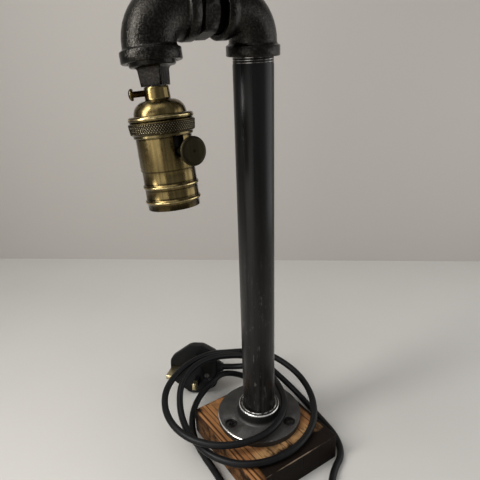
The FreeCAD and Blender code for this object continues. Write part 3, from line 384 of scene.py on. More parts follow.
@dataclass(frozen=True)
class FlangeIron(CastIron):
    """Casting whose turned rim is rubbed and carries a painted highlight on its lit side, whose
    hub mouth is rubbed bright, and whose hub and countersinks hold painted shade; sizes in
    millimetres.
    """

    pitted: Rgb = (0.17, 0.165, 0.16)
    # rubbed metal on the mouth rings, and a painted highlight on the rim
    bright: Rgb = (0.66, 0.64, 0.61)
    # painted shade in the countersinks
    sunk: Rgb = (0.004, 0.004, 0.004)
    # painted shade on the hub's side
    painted_hub_shade: Rgb = (0.007, 0.0065, 0.006)
    worn_rough: Span = (0.5, 0.22)
    rim: Span = (35.2, 35.7)
    rim_height: Span = (27.2, 28.0)
    # the side, in degrees round z, on which the rim's painted highlight is strongest
    lit_side: float = 8.0
    # radii and heights of the hub's side, which takes the painted shade
    hub: Span = (20.0, 18.8)
    hub_shade_height: Span = (29.3, 31.0)
    mouth_in: Span = (14.6, 14.3)
    mouth_out: Span = (16.6, 17.0)
    mouth_height: Span = (36.7, 37.4)
    screw_circle: float = 28.5
    screw_start: float = -2.5
    screws: int = 3
    countersink: Span = (5.0, 5.4)

    def paint(self, g: Surface) -> None:
        """Mix the pitted casting, the painted shade in its countersinks and on its hub, and its
        rubbed edges, with a painted highlight on the rim's lit side.

        Args:
            g: the surface.
        """
        x, y, z = g.split(g.where)
        radius = g.off_axis(x, y)
        tone, height = g.group(g.shared.grain, Vector=g.where, Coarse=70.0, Fine=self.grit)
        pits = g.span(g.noise(g.where, 700.0, 3.0), 0.62, 0.74)
        colour = g.blend(tone, self.dark, self.light)
        colour = g.blend(g.times(pits, 0.5), colour, self.pitted)
        # painted shade in the countersinks
        colour = g.blend(self._hole_shade(g, x, y), colour, self.sunk)
        # painted shade on the hub's side
        hub = g.times(self._zone(g, z, self.hub_shade_height, 0.0, 0.85),
                      self._zone(g, radius, self.hub))
        colour = g.blend(hub, colour, self.painted_hub_shade)
        # a painted highlight on the rim, strongest on its lit side and broken up by wear
        side = math.radians(self.lit_side)
        toward = g.math("DIVIDE", g.plus(g.times(x, math.cos(side)), g.times(y, math.sin(side))),
                        radius)
        rim = g.times(self._zone(g, radius, self.rim), self._zone(g, z, self.rim_height),
                      g.span(toward, 0.72, 0.93, 0.12, 1.0))
        mouth = self._zone(g, z, self.mouth_height)
        inner = g.times(mouth, self._zone(g, radius, self.mouth_in, 0.0, 0.6))
        outer = g.times(mouth, self._zone(g, radius, self.mouth_out, 0.0, 0.8))
        # the rim's painted highlight and the rubbed mouth rings, broken up by wear
        edge = g.most(rim, g.most(inner, outer))
        worn = g.group(g.shared.wear, Vector=g.where, Edge=edge, Amount=0.8, Scale=170.0)[0]
        g.feed(Base_Color=g.blend(worn, colour, self.bright), Metallic=self.metal,
               Roughness=g.span(worn, 0.0, 1.0, *self.worn_rough),
               Normal=g.bump(height, 0.7, self.grit_depth))

    @staticmethod
    def _zone(g: Graph, value: Socket, limits: Span, low: float = 0.0,
              high: float = 1.0) -> Socket:
        """Return a mask that goes from low to high between two sizes in millimetres."""
        return g.span(value, limits[0] * MM, limits[1] * MM, low, high)

    def _hole_shade(self, g: Graph, x: Socket, y: Socket) -> Socket:
        """Paint shade into the countersinks round the screws.

        Args:
            g: the surface.
            x: the place along x.
            y: the place along y.

        Returns:
            The mask.
        """
        spots = []
        for turn in range(self.screws):
            angle = math.radians(self.screw_start + 360.0 / self.screws * turn)
            away = [g.less(v, self.screw_circle * MM * c)
                    for v, c in ((x, math.cos(angle)), (y, math.sin(angle)))]
            spots.append(self._zone(g, g.off_axis(*away), self.countersink, 0.95, 0.0))
        return g.most(*spots)


@dataclass(frozen=True)
class PipeSteel(Finish):
    """Blackened steel tube with drawn streaks, strongest towards its foot as a painted reflection
    of the floor, and scratches towards its foot.
    """

    dark: Rgb = (0.0045, 0.0041, 0.0038)
    light: Rgb = (0.052, 0.049, 0.045)
    bare: Rgb = (0.30, 0.29, 0.28)
    gloss: float = 0.23
    rough: Span = (0.24, 0.40)
    floor_reflection_fade: Span = (0.06, 0.23)  # heights in metres between which the streaks, lighter low down as a painted reflection of the floor, fade
    scratched: Span = (0.05, 0.20)

    def paint(self, g: Surface) -> None:
        """Mix the streaks, which are strongest low down as a painted reflection of the floor, with
        long, fine scratches and short chips.

        Args:
            g: the surface.
        """
        streak = g.noise(g.stretch(g.where, z=0.03), 330.0, 5.0, 0.6)
        cloud = g.noise(g.stretch(g.where, z=0.25), 60.0, 3.0)
        height = g.split(g.where)[2]
        # the streaks fade with height: a painted reflection of the floor on the tube's lower part
        tone = g.times(g.span(streak, 0.42, 0.72), g.span(cloud, 0.35, 0.65),
                       g.span(height, *self.floor_reflection_fade, 1.0, 0.06))
        colour = g.blend(tone, self.dark, self.light)
        lines = g.group(g.shared.scratches, Vector=g.stretch(g.where, z=0.05), Scale=230.0,
                        Amount=0.8)[0]
        fine = g.times(lines, g.span(g.noise(g.where, 150.0, 3.0), 0.54, 0.64))
        short = g.group(g.shared.scratches, Scale=520.0, Amount=0.7,
                        Vector=g.stretch(g.where, z=0.12, turn=(0.05, 0.03, 0.0)))[0]
        chips = g.times(short, g.span(g.noise(g.where, 90.0, 3.0), 0.58, 0.66))
        mark = g.times(g.most(fine, chips), g.span(height, *self.scratched, 0.5, 0.02))
        g.feed(Base_Color=g.blend(mark, colour, self.bare), Metallic=g.times(mark, 0.9),
               Roughness=g.span(streak, *NOISE_MIDDLE, *self.rough), Specular_IOR_Level=self.gloss,
               Normal=g.bump(streak, 0.3, 0.00010))


@dataclass(frozen=True)
class BareSteel(Finish):
    """Cut or rubbed steel, stained light and dark by its grain."""

    bright: Rgb = (0.50, 0.48, 0.45)
    dark: Rgb = (0.06, 0.055, 0.05)
    rough: float = 0.3
    stained: Span = (0.25, 0.75)

    def paint(self, g: Surface) -> None:
        """Stain the steel by its grain.

        Args:
            g: the surface.
        """
        tone, height = g.group(g.shared.grain, Vector=g.where, Coarse=240.0, Fine=1500.0)
        stain = g.span(tone, *self.stained)
        rough = g.span(height, *NOISE_MIDDLE, self.rough - 0.06, self.rough + 0.12)
        g.feed(Base_Color=g.blend(stain, self.dark, self.bright), Metallic=0.95, Roughness=rough,
               Normal=g.bump(height, 0.4, 0.0001))


@dataclass(frozen=True)
class AntiqueBrass(Finish):
    """Olive-toned aged brass with turning lines; depths and radii in head millimetres."""

    deep: Rgb = (0.060, 0.043, 0.017)
    mid: Rgb = (0.225, 0.168, 0.070)
    rubbed: Rgb = (0.72, 0.57, 0.28)
    root: Rgb = (0.018, 0.013, 0.006)
    rough: float = 0.22
    wear: float = 0.5
    edges: tuple[float, ...] = ()
    edge_width: float = 0.5
    roots: tuple[float, ...] = ()
    root_width: float = 0.7
    shade: Span | None = None
    crest: tuple[Corner, Corner] | None = None
    groove: Span = (0.02, 0.13)
    spun: float = 0.75

    def paint(self, g: Surface) -> None:
        """Mix the tarnish with dark roots, a band of painted shade and rubbed edges, and brush it
        round the axis.

        Args:
            g: the surface.
        """
        origin = tuple(head_frame().to_translation())
        turned = g.add("VectorRotate", {"Vector": g.where, "Center": origin, "Axis": (1, 0, 0),
                                        "Angle": -(math.pi + HEAD_TILT)},
                       rotation_type="AXIS_ANGLE").outputs[0]
        local = g.add("VectorMath", {0: turned, 1: origin}, operation="SUBTRACT").outputs[0]
        depth = g.split(local)[2]
        streak = g.noise(g.stretch(local, z=0.035), 520.0, 4.0, 0.6)
        cloud = g.noise(g.stretch(local, z=0.2), 90.0, 3.0, 0.5)
        spots = g.noise(local, 420.0, 3.0, 0.55)
        turning = g.noise(g.stretch(local, x=0.02, y=0.02), 4200.0, 2.0, 0.6)
        tone = g.plus(g.times(g.span(streak, 0.34, 0.66), 0.6),
                      g.times(g.span(cloud, 0.34, 0.66), 0.4))
        colour = g.blend(tone, self.deep, self.mid)
        colour = g.blend(g.times(g.span(spots, 0.60, 0.8), 0.25), colour, self.deep)
        if self.roots:
            roots = self._bands(g, depth, self.roots, self.root_width)
            colour = g.blend(g.times(roots, 0.9), colour, self.root)
        # painted shade on the band at the mouth's rim, in the dark root colour
        if self.shade:
            low = g.span(depth, self.shade[0] * MM, self.shade[1] * MM)
            colour = g.blend(g.times(low, 0.85), colour, self.root)
        if self.crest:
            colour = g.blend(self._grooves(g, local, depth), colour, self.root)
        if self.edges:
            edge = self._bands(g, depth, self.edges, self.edge_width)
            worn = g.group(g.shared.wear, Vector=local, Edge=edge, Amount=self.wear,
                           Scale=260.0)[0]
            colour = g.blend(worn, colour, self.rubbed)
        if self.spun:
            g.feed(Anisotropic=self.spun, Anisotropic_Rotation=0.25, Tangent=self._round(g, local))
        relief = g.plus(g.times(streak, 0.7), g.times(turning, 0.3))
        g.feed(Base_Color=colour, Metallic=1.0, Normal=g.bump(relief, 0.25, 0.00005),
               Roughness=g.span(spots, 0.3, 0.75, self.rough - 0.04, self.rough + 0.14))

    @staticmethod
    def _round(g: Graph, local: Socket) -> Socket:
        """Find the direction of the turning lines, round the head's axis.

        Args:
            g: the surface.
            local: the place in the head's frame.

        Returns:
            The direction as a unit vector in the world.
        """
        x, y, _ = g.split(local)
        across = g.add("CombineXYZ", {0: g.times(y, -1.0), 1: x}).outputs[0]
        turned = g.add("VectorRotate", {"Vector": across, "Axis": (1, 0, 0),
                                        "Angle": math.pi + HEAD_TILT},
                       rotation_type="AXIS_ANGLE").outputs[0]
        there = g.add("VectorTransform", {0: turned}, vector_type="VECTOR", convert_from="OBJECT",
                      convert_to="WORLD").outputs[0]
        return g.add("VectorMath", {0: there}, operation="NORMALIZE").outputs[0]

    def _grooves(self, g: Graph, local: Socket, depth: Socket) -> Socket:
        """Darken what lies below the crests of a knurl.

        Args:
            g: the surface.
            local: the place in the head's frame.
            depth: the place's depth down the head.

        Returns:
            The mask.
        """
        (top_radius, top), (foot_radius, foot) = self.crest
        crest = g.span(depth, top * MM, foot * MM, top_radius * MM, foot_radius * MM)
        x, y, _ = g.split(local)
        sunk = g.less(crest, g.off_axis(x, y))
        return g.span(sunk, self.groove[0] * MM, self.groove[1] * MM, 0.0, 0.98)

    @staticmethod
    def _bands(g: Graph, depth: Socket, stations: Sequence[float], width: float) -> Socket:
        """Return the mask of rings at several depths down the head."""
        return g.most(*[g.span(g.apart(depth, station * MM), 0.0, width * MM, 1.0, 0.0)
                        for station in stations])


@dataclass(frozen=True)
class BrightBrass(Finish):
    """Plain bright brass of contacts and pins."""

    colour: Rgb = (0.72, 0.52, 0.20)
    rough: float = 0.28
    dull: float = 0.45

    def paint(self, g: Surface) -> None:
        """Dull the brass in blotches.

        Args:
            g: the surface.
        """
        tone, height = g.group(g.shared.grain, Vector=g.where, Coarse=300.0, Fine=2400.0)
        dull = tuple(c * self.dull for c in self.colour)
        rough = g.span(height, *NOISE_MIDDLE, self.rough - 0.06, self.rough + 0.1)
        g.feed(Base_Color=g.blend(g.times(tone, 0.5), self.colour, dull), Metallic=1.0,
               Roughness=rough, Normal=g.bump(height, 0.3, 0.00006))


@dataclass(frozen=True)
class Moulding(Finish):
    """Rubber or moulded plastic with a fine skin."""

    colour: Rgb = (0.012, 0.012, 0.013)
    faded: Rgb = (0.035, 0.035, 0.037)
    rough: Span = (0.32, 0.5)
    skin: float = 1500.0
    depth: float = 0.00008
    dust: float = 0.08
    dusty: Rgb = (0.28, 0.27, 0.25)
    gloss: float = 0.3

    def paint(self, g: Surface) -> None:
        """Mix the faded blotches, the skin and a little dust.

        Args:
            g: the surface.
        """
        tone, height = g.group(g.shared.grain, Vector=g.where, Coarse=80.0, Fine=self.skin)
        colour = g.blend(g.times(tone, 0.6), self.colour, self.faded)
        dust = g.group(g.shared.dust, Vector=g.where, Amount=self.dust, Scale=500.0)[0]
        g.feed(Base_Color=g.blend(dust, colour, self.dusty),
               Roughness=g.span(tone, 0.0, 1.0, *self.rough), Specular_IOR_Level=self.gloss,
               Normal=g.bump(height, 0.5, self.depth))


@dataclass(frozen=True)
class CharredWood(Finish):
    """Oiled board with grain along Y, dark seams and scorched edges and sides, in metres."""

    pale: Rgb = (0.40, 0.20, 0.080)
    warm: Rgb = (0.235, 0.098, 0.034)
    tan: Rgb = (0.36, 0.215, 0.095)
    dark: Rgb = (0.030, 0.012, 0.006)
    char: Rgb = (0.0050, 0.0030, 0.0020)
    worn: Rgb = (0.17, 0.125, 0.085)
    scorched: float = 0.992
    gloss: float = 0.10
    rough: Span = (0.55, 0.62)
    low: Span = (-0.0395, -0.0395)
    high: Span = (0.044, 0.057)
    top: float = 0.023
    front: Span = (0.0400, 0.0435)  # scorch by the near edge, and how far it reaches across
    front_reach: Span = (0.0375, 0.0335)
    corner: Span = (-0.0300, -0.0345)
    corner_reach: Span = (0.0375, 0.0400)
    sawn: Span = (0.0315, 0.0345)  # saw marks along the grain and across it
    sawn_reach: Span = (0.034, 0.028)
    slant: float = 0.048
    sway: float = 0.006
    seams: tuple[Corner, ...] = (  # each one's place across the grain and its width
        (0.0388, 0.0009), (0.0424, 0.0006), (0.0345, 0.00025), (0.0312, 0.0004),
        (0.0262, 0.0002), (0.0008, 0.0005), (-0.0165, 0.0004), (-0.0305, 0.0006))

    def paint(self, g: Surface) -> None:
        """Mix the grain, the seams, the saw marks at one end, the scorch and the rubbed edge.

        Args:
            g: the surface.
        """
        x, y, z = g.split(g.where)
        sway = g.noise(g.stretch(g.where, 0.3, 0.1, 0.3), 55.0, 2.0)
        across = g.plus(g.plus(x, g.times(y, self.slant)), g.times(g.less(sway, 0.5), self.sway))
        bent = g.add("CombineXYZ", {0: across, 1: y, 2: z}).outputs[0]
        bands = g.noise(g.stretch(bent, y=0.03), 210.0, 4.0, 0.6)
        fibres = g.noise(g.stretch(bent, y=0.025), 1100.0, 4.0, 0.65)
        ends = g.times(g.span(y, *self.sawn), g.span(x, *self.sawn_reach))
        smoke = g.noise(g.stretch(g.where, y=0.55), 70.0, 4.0, 0.6)
        seams = g.most(*[g.span(g.apart(across, place), width * 0.4, width * 1.5, 1.0, 0.0)
                         for place, width in self.seams])
        ticks = g.noise(g.stretch(g.where, y=0.12), 620.0, 2.0)
        scorch = self._scorch(g, (x, y, z))
        colour = g.blend(g.span(bands, 0.34, 0.66), self.warm, self.pale)
        for share, layer in ((g.times(ends, 0.75), self.tan),
                             (g.times(g.span(fibres, 0.5, 0.70), 0.45), self.dark),
                             (g.times(g.span(smoke, 0.50, 0.68), 0.6), self.dark),
                             (g.times(seams, 0.95), self.dark),
                             (g.times(ends, g.span(ticks, 0.52, 0.60), 0.8), self.dark),
                             (scorch, self.char),
                             (self._rub(g, (x, y, z)), self.worn)):
            colour = g.blend(share, colour, layer)
        relief = g.less(fibres, g.times(seams, 0.8))
        g.feed(Base_Color=colour, Roughness=g.span(scorch, 0.0, 1.0, *self.rough),
               Specular_IOR_Level=self.gloss, Normal=g.bump(relief, 0.6, 0.00035))

    def _scorch(self, g: Surface, spot: Sequence[Socket]) -> Socket:
        """Scorch a broken band round the top, and the sides.

        Args:
            g: the surface.
            spot: the place across the grain, along it and in height.

        Returns:
            The mask.
        """
        (x, y, z), low, high, top = spot, self.low, self.high, self.top
        patch = g.less(g.noise(g.where, 95.0, 4.0, 0.6), 0.5)
        near = g.plus(y, g.times(patch, 0.009))
        far = g.plus(x, g.times(patch, 0.006))
        front = g.times(g.span(near, *self.front), g.span(far, *self.front_reach))
        corner = g.times(g.span(near, *self.corner), g.span(far, *self.corner_reach))
        left = g.span(far, low[0] + 0.0060, low[0] + 0.0030)
        back = g.span(near, low[1] + 0.0022, low[1] + 0.0004)
        brown = g.times(g.span(x, high[0] - 0.0006, high[0]),
                        g.span(patch, -0.05, 0.08, 0.45, 0.95))
        sides = g.times(g.span(z, top - 0.0006, top - 0.0014),
                        g.span(x, high[0] - 0.0004, high[0] - 0.0001, 1.0, 0.0))
        return g.times(g.most(front, back, left, corner, brown, sides), self.scorched)

    def _rub(self, g: Surface, spot: Sequence[Socket]) -> Socket:
        """Rub the top edge over the board's far end, most at its middle.

        Args:
            g: the surface.
            spot: the place across the grain, along it and in height.

        Returns:
            The mask.
        """
        x, y, z = spot
        edge = g.span(g.apart(y, self.high[1] - 0.0009), 0.0, 0.0006, 1.0, 0.0)
        middle = g.times(g.span(x, 0.026, 0.018), g.span(x, -0.022, -0.008))
        reach = g.plus(g.times(middle, 0.75), 0.25)
        high = g.span(z, self.top - 0.0015, self.top - 0.0004)
        return g.group(g.shared.wear, Vector=g.where, Edge=g.times(edge, reach, high),
                       Amount=0.5, Scale=110.0)[0]


ELBOW_IRON = CastIron("elbow_iron")
TUBE_STEEL = BareSteel("tube_steel")
GUARD_RUBBER = Moulding("guard_rubber", (0.012, 0.012, 0.012), (0.020, 0.020, 0.020), (0.5, 0.65))
FLEX_RUBBER = Moulding("flex_rubber", (0.0032, 0.0032, 0.0034), (0.0060, 0.0060, 0.0064),
                       (0.36, 0.48), skin=900.0, depth=0.00003, dust=0.01, gloss=0.17)


# --- meshes ----------------------------------------------------------------------------------
def linked(name: str, data: bpy.types.ID) -> bpy.types.Object:
    """Link a new object to the scene.

    Args:
        name: the object's name.
        data: the mesh, curve, lamp or camera that it holds.

    Returns:
        The new object.
    """
    thing = bpy.data.objects.new(name, data)
    bpy.context.scene.collection.objects.link(thing)
    return thing


def smooth_piece(bm: bmesh.types.BMesh, name: str, material: bpy.types.Material,
                 crisp: float) -> bpy.types.Object:
    """Make a smooth-shaded object of a bmesh.

    Args:
        bm: the bmesh in row metres; freed here.
        name: the object's name.
        material: its finish.
        crisp: the angle in degrees past which an edge stays crisp.

    Returns:
        The new object.
    """
    mesh = bpy.data.meshes.new(name)
    bm.to_mesh(mesh)
    bm.free()
    mesh.polygons.foreach_set("use_smooth", [True] * len(mesh.polygons))
    mesh.set_sharp_from_angle(angle=math.radians(crisp))
    mesh.materials.append(material)
    return linked(name, mesh)


def closed_piece(bm: bmesh.types.BMesh, name: str, material: bpy.types.Material, matrix: Matrix,
                 crisp: float = 35.0) -> bpy.types.Object:
    """Close a bmesh's seams and make it an object whose place is in its mesh.

    Args:
        bm: the bmesh, in millimetres of its own frame; freed here.
        name: the object's name.
        material: its finish.
        matrix: from the bmesh's millimetres to row metres.
        crisp: the angle in degrees past which an edge stays crisp.

    Returns:
        The new object.
    """
    bmesh.ops.remove_doubles(bm, verts=bm.verts, dist=0.002)
    bmesh.ops.recalc_face_normals(bm, faces=bm.faces)
    bm.transform(matrix)
    return smooth_piece(bm, name, material, crisp)


def lathe(outline: Sequence[Corner], steps: int) -> bmesh.types.BMesh:
    """Spin a closed outline about z.

    Args:
        outline: the radius and height of its corners in millimetres.
        steps: how many segments go round.

    Returns:
        The turned bmesh.
    """
    bm = bmesh.new()
    verts = [bm.verts.new((r, 0.0, z)) for r, z in outline]
    edges = [bm.edges.new(pair) for pair in zip(verts, verts[1:] + verts[:1])]
    bmesh.ops.spin(bm, geom=verts + edges, cent=(0, 0, 0), axis=(0, 0, 1), dvec=(0, 0, 0),
                   angle=2 * math.pi, steps=steps, use_merge=True, use_duplicate=False)
    return bm


@dataclass(frozen=True)
class Thread:
    """A thread's ridge round z, in millimetres."""

    root: float
    height: float
    pitch: float
    start: float
    turns: float
    buried: float = 0.25
    steps: int = 48

    def ridge(self) -> bmesh.types.BMesh:
        """Wind the ridge.

        Returns:
            The ridge as a closed bmesh.
        """
        bm = bmesh.new()
        crest = self.root + self.height
        flank = ((self.root - self.buried, 0.46), (self.root, 0.42), (crest, 0.08))
        outline = [(r, -half) for r, half in flank] + list(reversed(flank))
        face = bm.faces.new([bm.verts.new((r, 0.0, self.start + half * self.pitch))
                             for r, half in outline])
        count = round(self.steps * self.turns)
        bmesh.ops.spin(bm, geom=[face], cent=(0, 0, 0), axis=(0, 0, 1), steps=count,
                       dvec=(0, 0, self.pitch * self.turns / count),
                       angle=2 * math.pi * self.turns, use_merge=False, use_duplicate=False)
        return bm


@dataclass(frozen=True)
class Knurl:
    """A band of diamonds about z, its ends given by radius and height in millimetres."""

    top: Corner
    foot: Corner
    teeth: int
    depth: float
    lean: float = 1.25
    rows: int = 22
    tooth_faces: int = 4

    def cut(self) -> bmesh.types.BMesh:
        """Cut the two sets of grooves that cross.

        Returns:
            The band, open at its back.
        """
        bm = bmesh.new()
        columns = self.teeth * self.tooth_faces
        pitch = 2 * math.pi * self.top[0] / self.teeth
        rings = []
        for row in range(self.rows + 1):
            share = row / self.rows
            radius, height = (a + (b - a) * share for a, b in zip(self.top, self.foot))
            rise = (height - self.top[1]) / (pitch * self.lean)
            ring = []
            for column in range(columns):
                angle = 2 * math.pi * column / columns
                groove = max(abs(2 * ((column / self.tooth_faces + turn * rise) % 1.0) - 1)
                             for turn in (1, -1))
                away = radius - self.depth * (groove ** 2 if 0 < row < self.rows else 1.0)
                ring.append(bm.verts.new((away * math.cos(angle), away * math.sin(angle), height)))
            rings.append(ring)
        for upper, lower in zip(rings, rings[1:]):
            for column in range(columns):
                after = (column + 1) % columns
                bm.faces.new((upper[column], upper[after], lower[after], lower[column]))
        return bm


class Workshop:
    """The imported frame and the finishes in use."""

    def __init__(self, frame: dict) -> None:
        """Keep the frame and build the shared groups.

        Args:
            frame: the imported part, as it was loaded.
        """
        self.frame = frame
        self.groups = Groups()
        self.finishes: dict[str, bpy.types.Material] = {}

    def finish(self, kind: Finish) -> bpy.types.Material:
        """Build a finish the first time that it is asked for.

        Args:
            kind: the finish.

        Returns:
            Its material.
        """
        if kind.name not in self.finishes:
            self.finishes[kind.name] = kind.build(self.groups)
        return self.finishes[kind.name]


@dataclass(frozen=True)
class Assembly:
    """Pieces that are made together, most of which ride on one body."""

    shop: Workshop
    body: Body = Body.STAND

    def keep(self, piece: bpy.types.Object, slot: str, *nodes: str,
             body: Body | None = None) -> None:
        """Make a piece ride on its body and stand for its nodes.

        Args:
            piece: the new piece.
            slot: the record's material slot; not used.
            nodes: the CAD nodes that it replaces.
            body: the body that it rides on, where that isn't the assembly's.
        """
        body = body or self.body
        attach(piece, body.value)
        if nodes:
            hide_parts(*nodes)
        LOG.info("%s on %s", piece.name, body.value)

    def skin(self, kind: Finish, slot: str, *nodes: str, crisp: float = 32.0,
             body: Body | None = None) -> None:
        """Stand a merged, smooth-shaded copy of each CAD node in for the node.

        Args:
            kind: the finish to give the copies.
            slot: the record's material slot.
            nodes: the CAD nodes' names.
            crisp: the angle in degrees past which an edge stays crisp.
            body: the body that they ride on, where that isn't the assembly's.
        """
        for node in nodes:
            bm = bmesh.new()
            bm.from_mesh(self.shop.frame["nodes"][node].data)
            bmesh.ops.remove_doubles(bm, verts=bm.verts, dist=SAME_PLACE)
            piece = smooth_piece(bm, f"{node}_skin", self.shop.finish(kind), crisp)
            self.keep(piece, slot, node, body=body)

    def dress(self, node: str, kind: Finish) -> None:
        """Give a CAD node that stays shown its finish.

        Args:
            node: the node's name.
            kind: the finish.
        """
        materials = self.shop.frame["nodes"][node].data.materials
        materials.clear()
        materials.append(self.shop.finish(kind))
        LOG.info("%s dressed", node)

    def build(self) -> None:
        """Make and dress the pieces; each assembly does it its own way."""
        raise NotImplementedError


# --- stage ------------------------------------------------------------------------------------
@dataclass(frozen=True)
class Panel:
    """A rectangular lamp that faces a point, in metres and watts."""

    name: str
    at: Point
    look: Point
    size: tuple[float, float]
    power: float
    colour: Rgb

    def hang(self) -> None:
        """Put the panel in the scene, where the camera doesn't see it."""
        data = bpy.data.lights.new(self.name, "AREA")
        data.shape, data.size, data.size_y = "RECTANGLE", *self.size
        data.energy, data.color = self.power, self.colour
        turn = (Vector(self.look) - Vector(self.at)).to_track_quat("-Z", "Y")
        lamp = linked(self.name, data)
        lamp.matrix_world = Matrix.Translation(self.at) @ turn.to_matrix().to_4x4()
        lamp.visible_camera = False


@dataclass(frozen=True)
class Studio:
    """Floor, backdrop, lamps and camera; the camera's place, lens and film in millimetres."""

    camera_at: Point = (188.0, 268.5, 334.9)
    forward: Point = (-0.4978, -0.7700, -0.3991)
    right: Point = (-0.8325, 0.5533, -0.0291)
    up: Point = (-0.2432, -0.3178, 0.9164)
    lens: float = 36.0
    film: float = 36.0
    near: float = 0.01
    floor_colour: Rgb = (0.565, 0.55, 0.52)
    floor_shade: float = 0.93
    floor_size: tuple[float, float] = (8.0, 8.0)
    wall_colour: Rgb = (0.43, 0.405, 0.375)
    wall_size: tuple[float, float] = (8.0, 2.0)
    wall_distance: float = 0.687
    wall_facing: Point = (0.61321, 0.78992, 0.0)
    air_colour: Rgb = (0.96, 0.97, 1.0)
    air_strength: float = 0.30
    panels: tuple[Panel, ...] = (
        Panel("above", (0.36, -0.02, 1.06), (0.0, -0.03, 0.0), (0.85, 0.85), 3.1,
              (1.0, 0.985, 0.96)),
        Panel("window", (0.435, -0.042, 0.49), (0.07, 0.0, 0.29), (0.125, 0.44), 2.6,
              (1.0, 0.99, 0.97)),
        Panel("left_card", (0.517, 0.177, 0.23), (0.0, 0.0, 0.21), (0.48, 0.40), 0.90,
              (1.0, 0.98, 0.95)),
        Panel("right_card", (-0.42, 0.24, 0.25), (0.0, 0.0, 0.21), (0.42, 0.44), 0.95,
              (0.98, 0.99, 1.0)))

    def build(self) -> None:
        """Make the camera first, then the stage, the room's soft light and the lamps."""
        self._camera()
        self._floor()
        self._wall()
        self._air()
        for panel in self.panels:
            panel.hang()
        bpy.context.scene.view_settings.view_transform = "Standard"

    def _camera(self) -> None:
        """Create the camera and make it the scene's."""
        data = bpy.data.cameras.new("camera")
        data.lens, data.sensor_width, data.clip_start = self.lens, self.film, self.near
        camera = linked("camera", data)
        axes = Matrix((self.right, self.up, -Vector(self.forward))).transposed().to_4x4()
        camera.matrix_world = Matrix.Translation(Vector(self.camera_at) * MM) @ axes
        bpy.context.scene.camera = camera

    @staticmethod
    def _plane(name: str, matrix: Matrix, size: tuple[float, float],
               material: bpy.types.Material) -> None:
        """Make one rectangle of the stage.

        Args:
            name: its name.
            matrix: its place.
            size: its two sides.
            material: its finish.
        """
        bm = bmesh.new()
        bmesh.ops.create_grid(bm, x_segments=1, y_segments=1, size=0.5)
        bmesh.ops.scale(bm, vec=(*size, 1.0), verts=bm.verts)
        bm.transform(matrix)
        mesh = bpy.data.meshes.new(name)
        bm.to_mesh(mesh)
        bm.free()
        mesh.materials.append(material)
        linked(name, mesh)

    def _floor(self) -> None:
        """Lay the pale floor."""
        g = Surface("floor_pale")
        shaded = tuple(c * self.floor_shade for c in self.floor_colour)
        tone = g.span(g.noise(g.where, 3.0, 3.0), *NOISE_MIDDLE)
        g.feed(Base_Color=g.blend(tone, self.floor_colour, shaded), Roughness=0.75)
        self._plane("floor", Matrix.Identity(4), self.floor_size, g.material)

    def _wall(self) -> None:
        """Stand the backdrop behind the lamp; from its own back it isn't seen."""
        g = Surface("backdrop_grey")
        g.feed(Base_Color=self.wall_colour, Roughness=0.8)
        clear = g.add("BsdfTransparent")
        facing = g.add("NewGeometry").outputs["Backfacing"]
        mix = g.add("MixShader", {0: facing, 1: g.shader.outputs[0], 2: clear.outputs[0]})
        output = next(n for n in g.tree.nodes if n.type == "OUTPUT_MATERIAL")
        g.put(output.inputs[0], mix.outputs[0])
        toward, up = Vector(self.wall_facing), Vector((0.0, 0.0, 1.0))
        axes = Matrix((up.cross(toward), up, toward)).transposed().to_4x4()
        foot = Vector((*self.camera_at[:2], 0.0)) * MM - toward * self.wall_distance
        middle = foot + up * self.wall_size[1] / 2
        self._plane("backdrop", Matrix.Translation(middle) @ axes, self.wall_size, g.material)

    def _air(self) -> None:
        """Fill the room with soft light."""
        world = bpy.data.worlds.new("room")
        world.use_nodes = True
        soft = world.node_tree.nodes["Background"]
        soft.inputs[0].default_value = (*self.air_colour, 1.0)
        soft.inputs[1].default_value = self.air_strength
        bpy.context.scene.world = world


@dataclass(frozen=True)
class Plug(Assembly):
    """The fused three-pin plug that lies beside the block."""

    plastic: Moulding = Moulding("plug_moulding", (0.0026, 0.0026, 0.0028),
                                 (0.0050, 0.0050, 0.0054), (0.40, 0.55), skin=1100.0,
                                 depth=0.00005, dust=0.01, gloss=0.14)
    pins: BrightBrass = BrightBrass("pin_brass", (0.50, 0.42, 0.24), 0.34)
    barrel: Moulding = Moulding("fuse_barrel", (0.6, 0.58, 0.5), (0.5, 0.48, 0.42), (0.2, 0.3))
    screw: BareSteel = BareSteel("screw_steel", (0.14, 0.135, 0.13), (0.02, 0.02, 0.02))

    def build(self) -> None:
        """Dress every piece of the plug."""
        self.skin(self.plastic, "plug_black", "plug_base", "plug_cover", "pin_sleeves",
                  "cord_grip", crisp=38.0)
        self.skin(GUARD_RUBBER, "rubber_black", "flex_guard")
        self.skin(self.pins, "pin_brass", "earth_pin", "line_pin", "neutral_pin", "fuse_clips")
        self.skin(self.barrel, "fuse_ceramic", "plug_fuse")
        self.skin(self.screw, "screw_steel", "cover_screw")


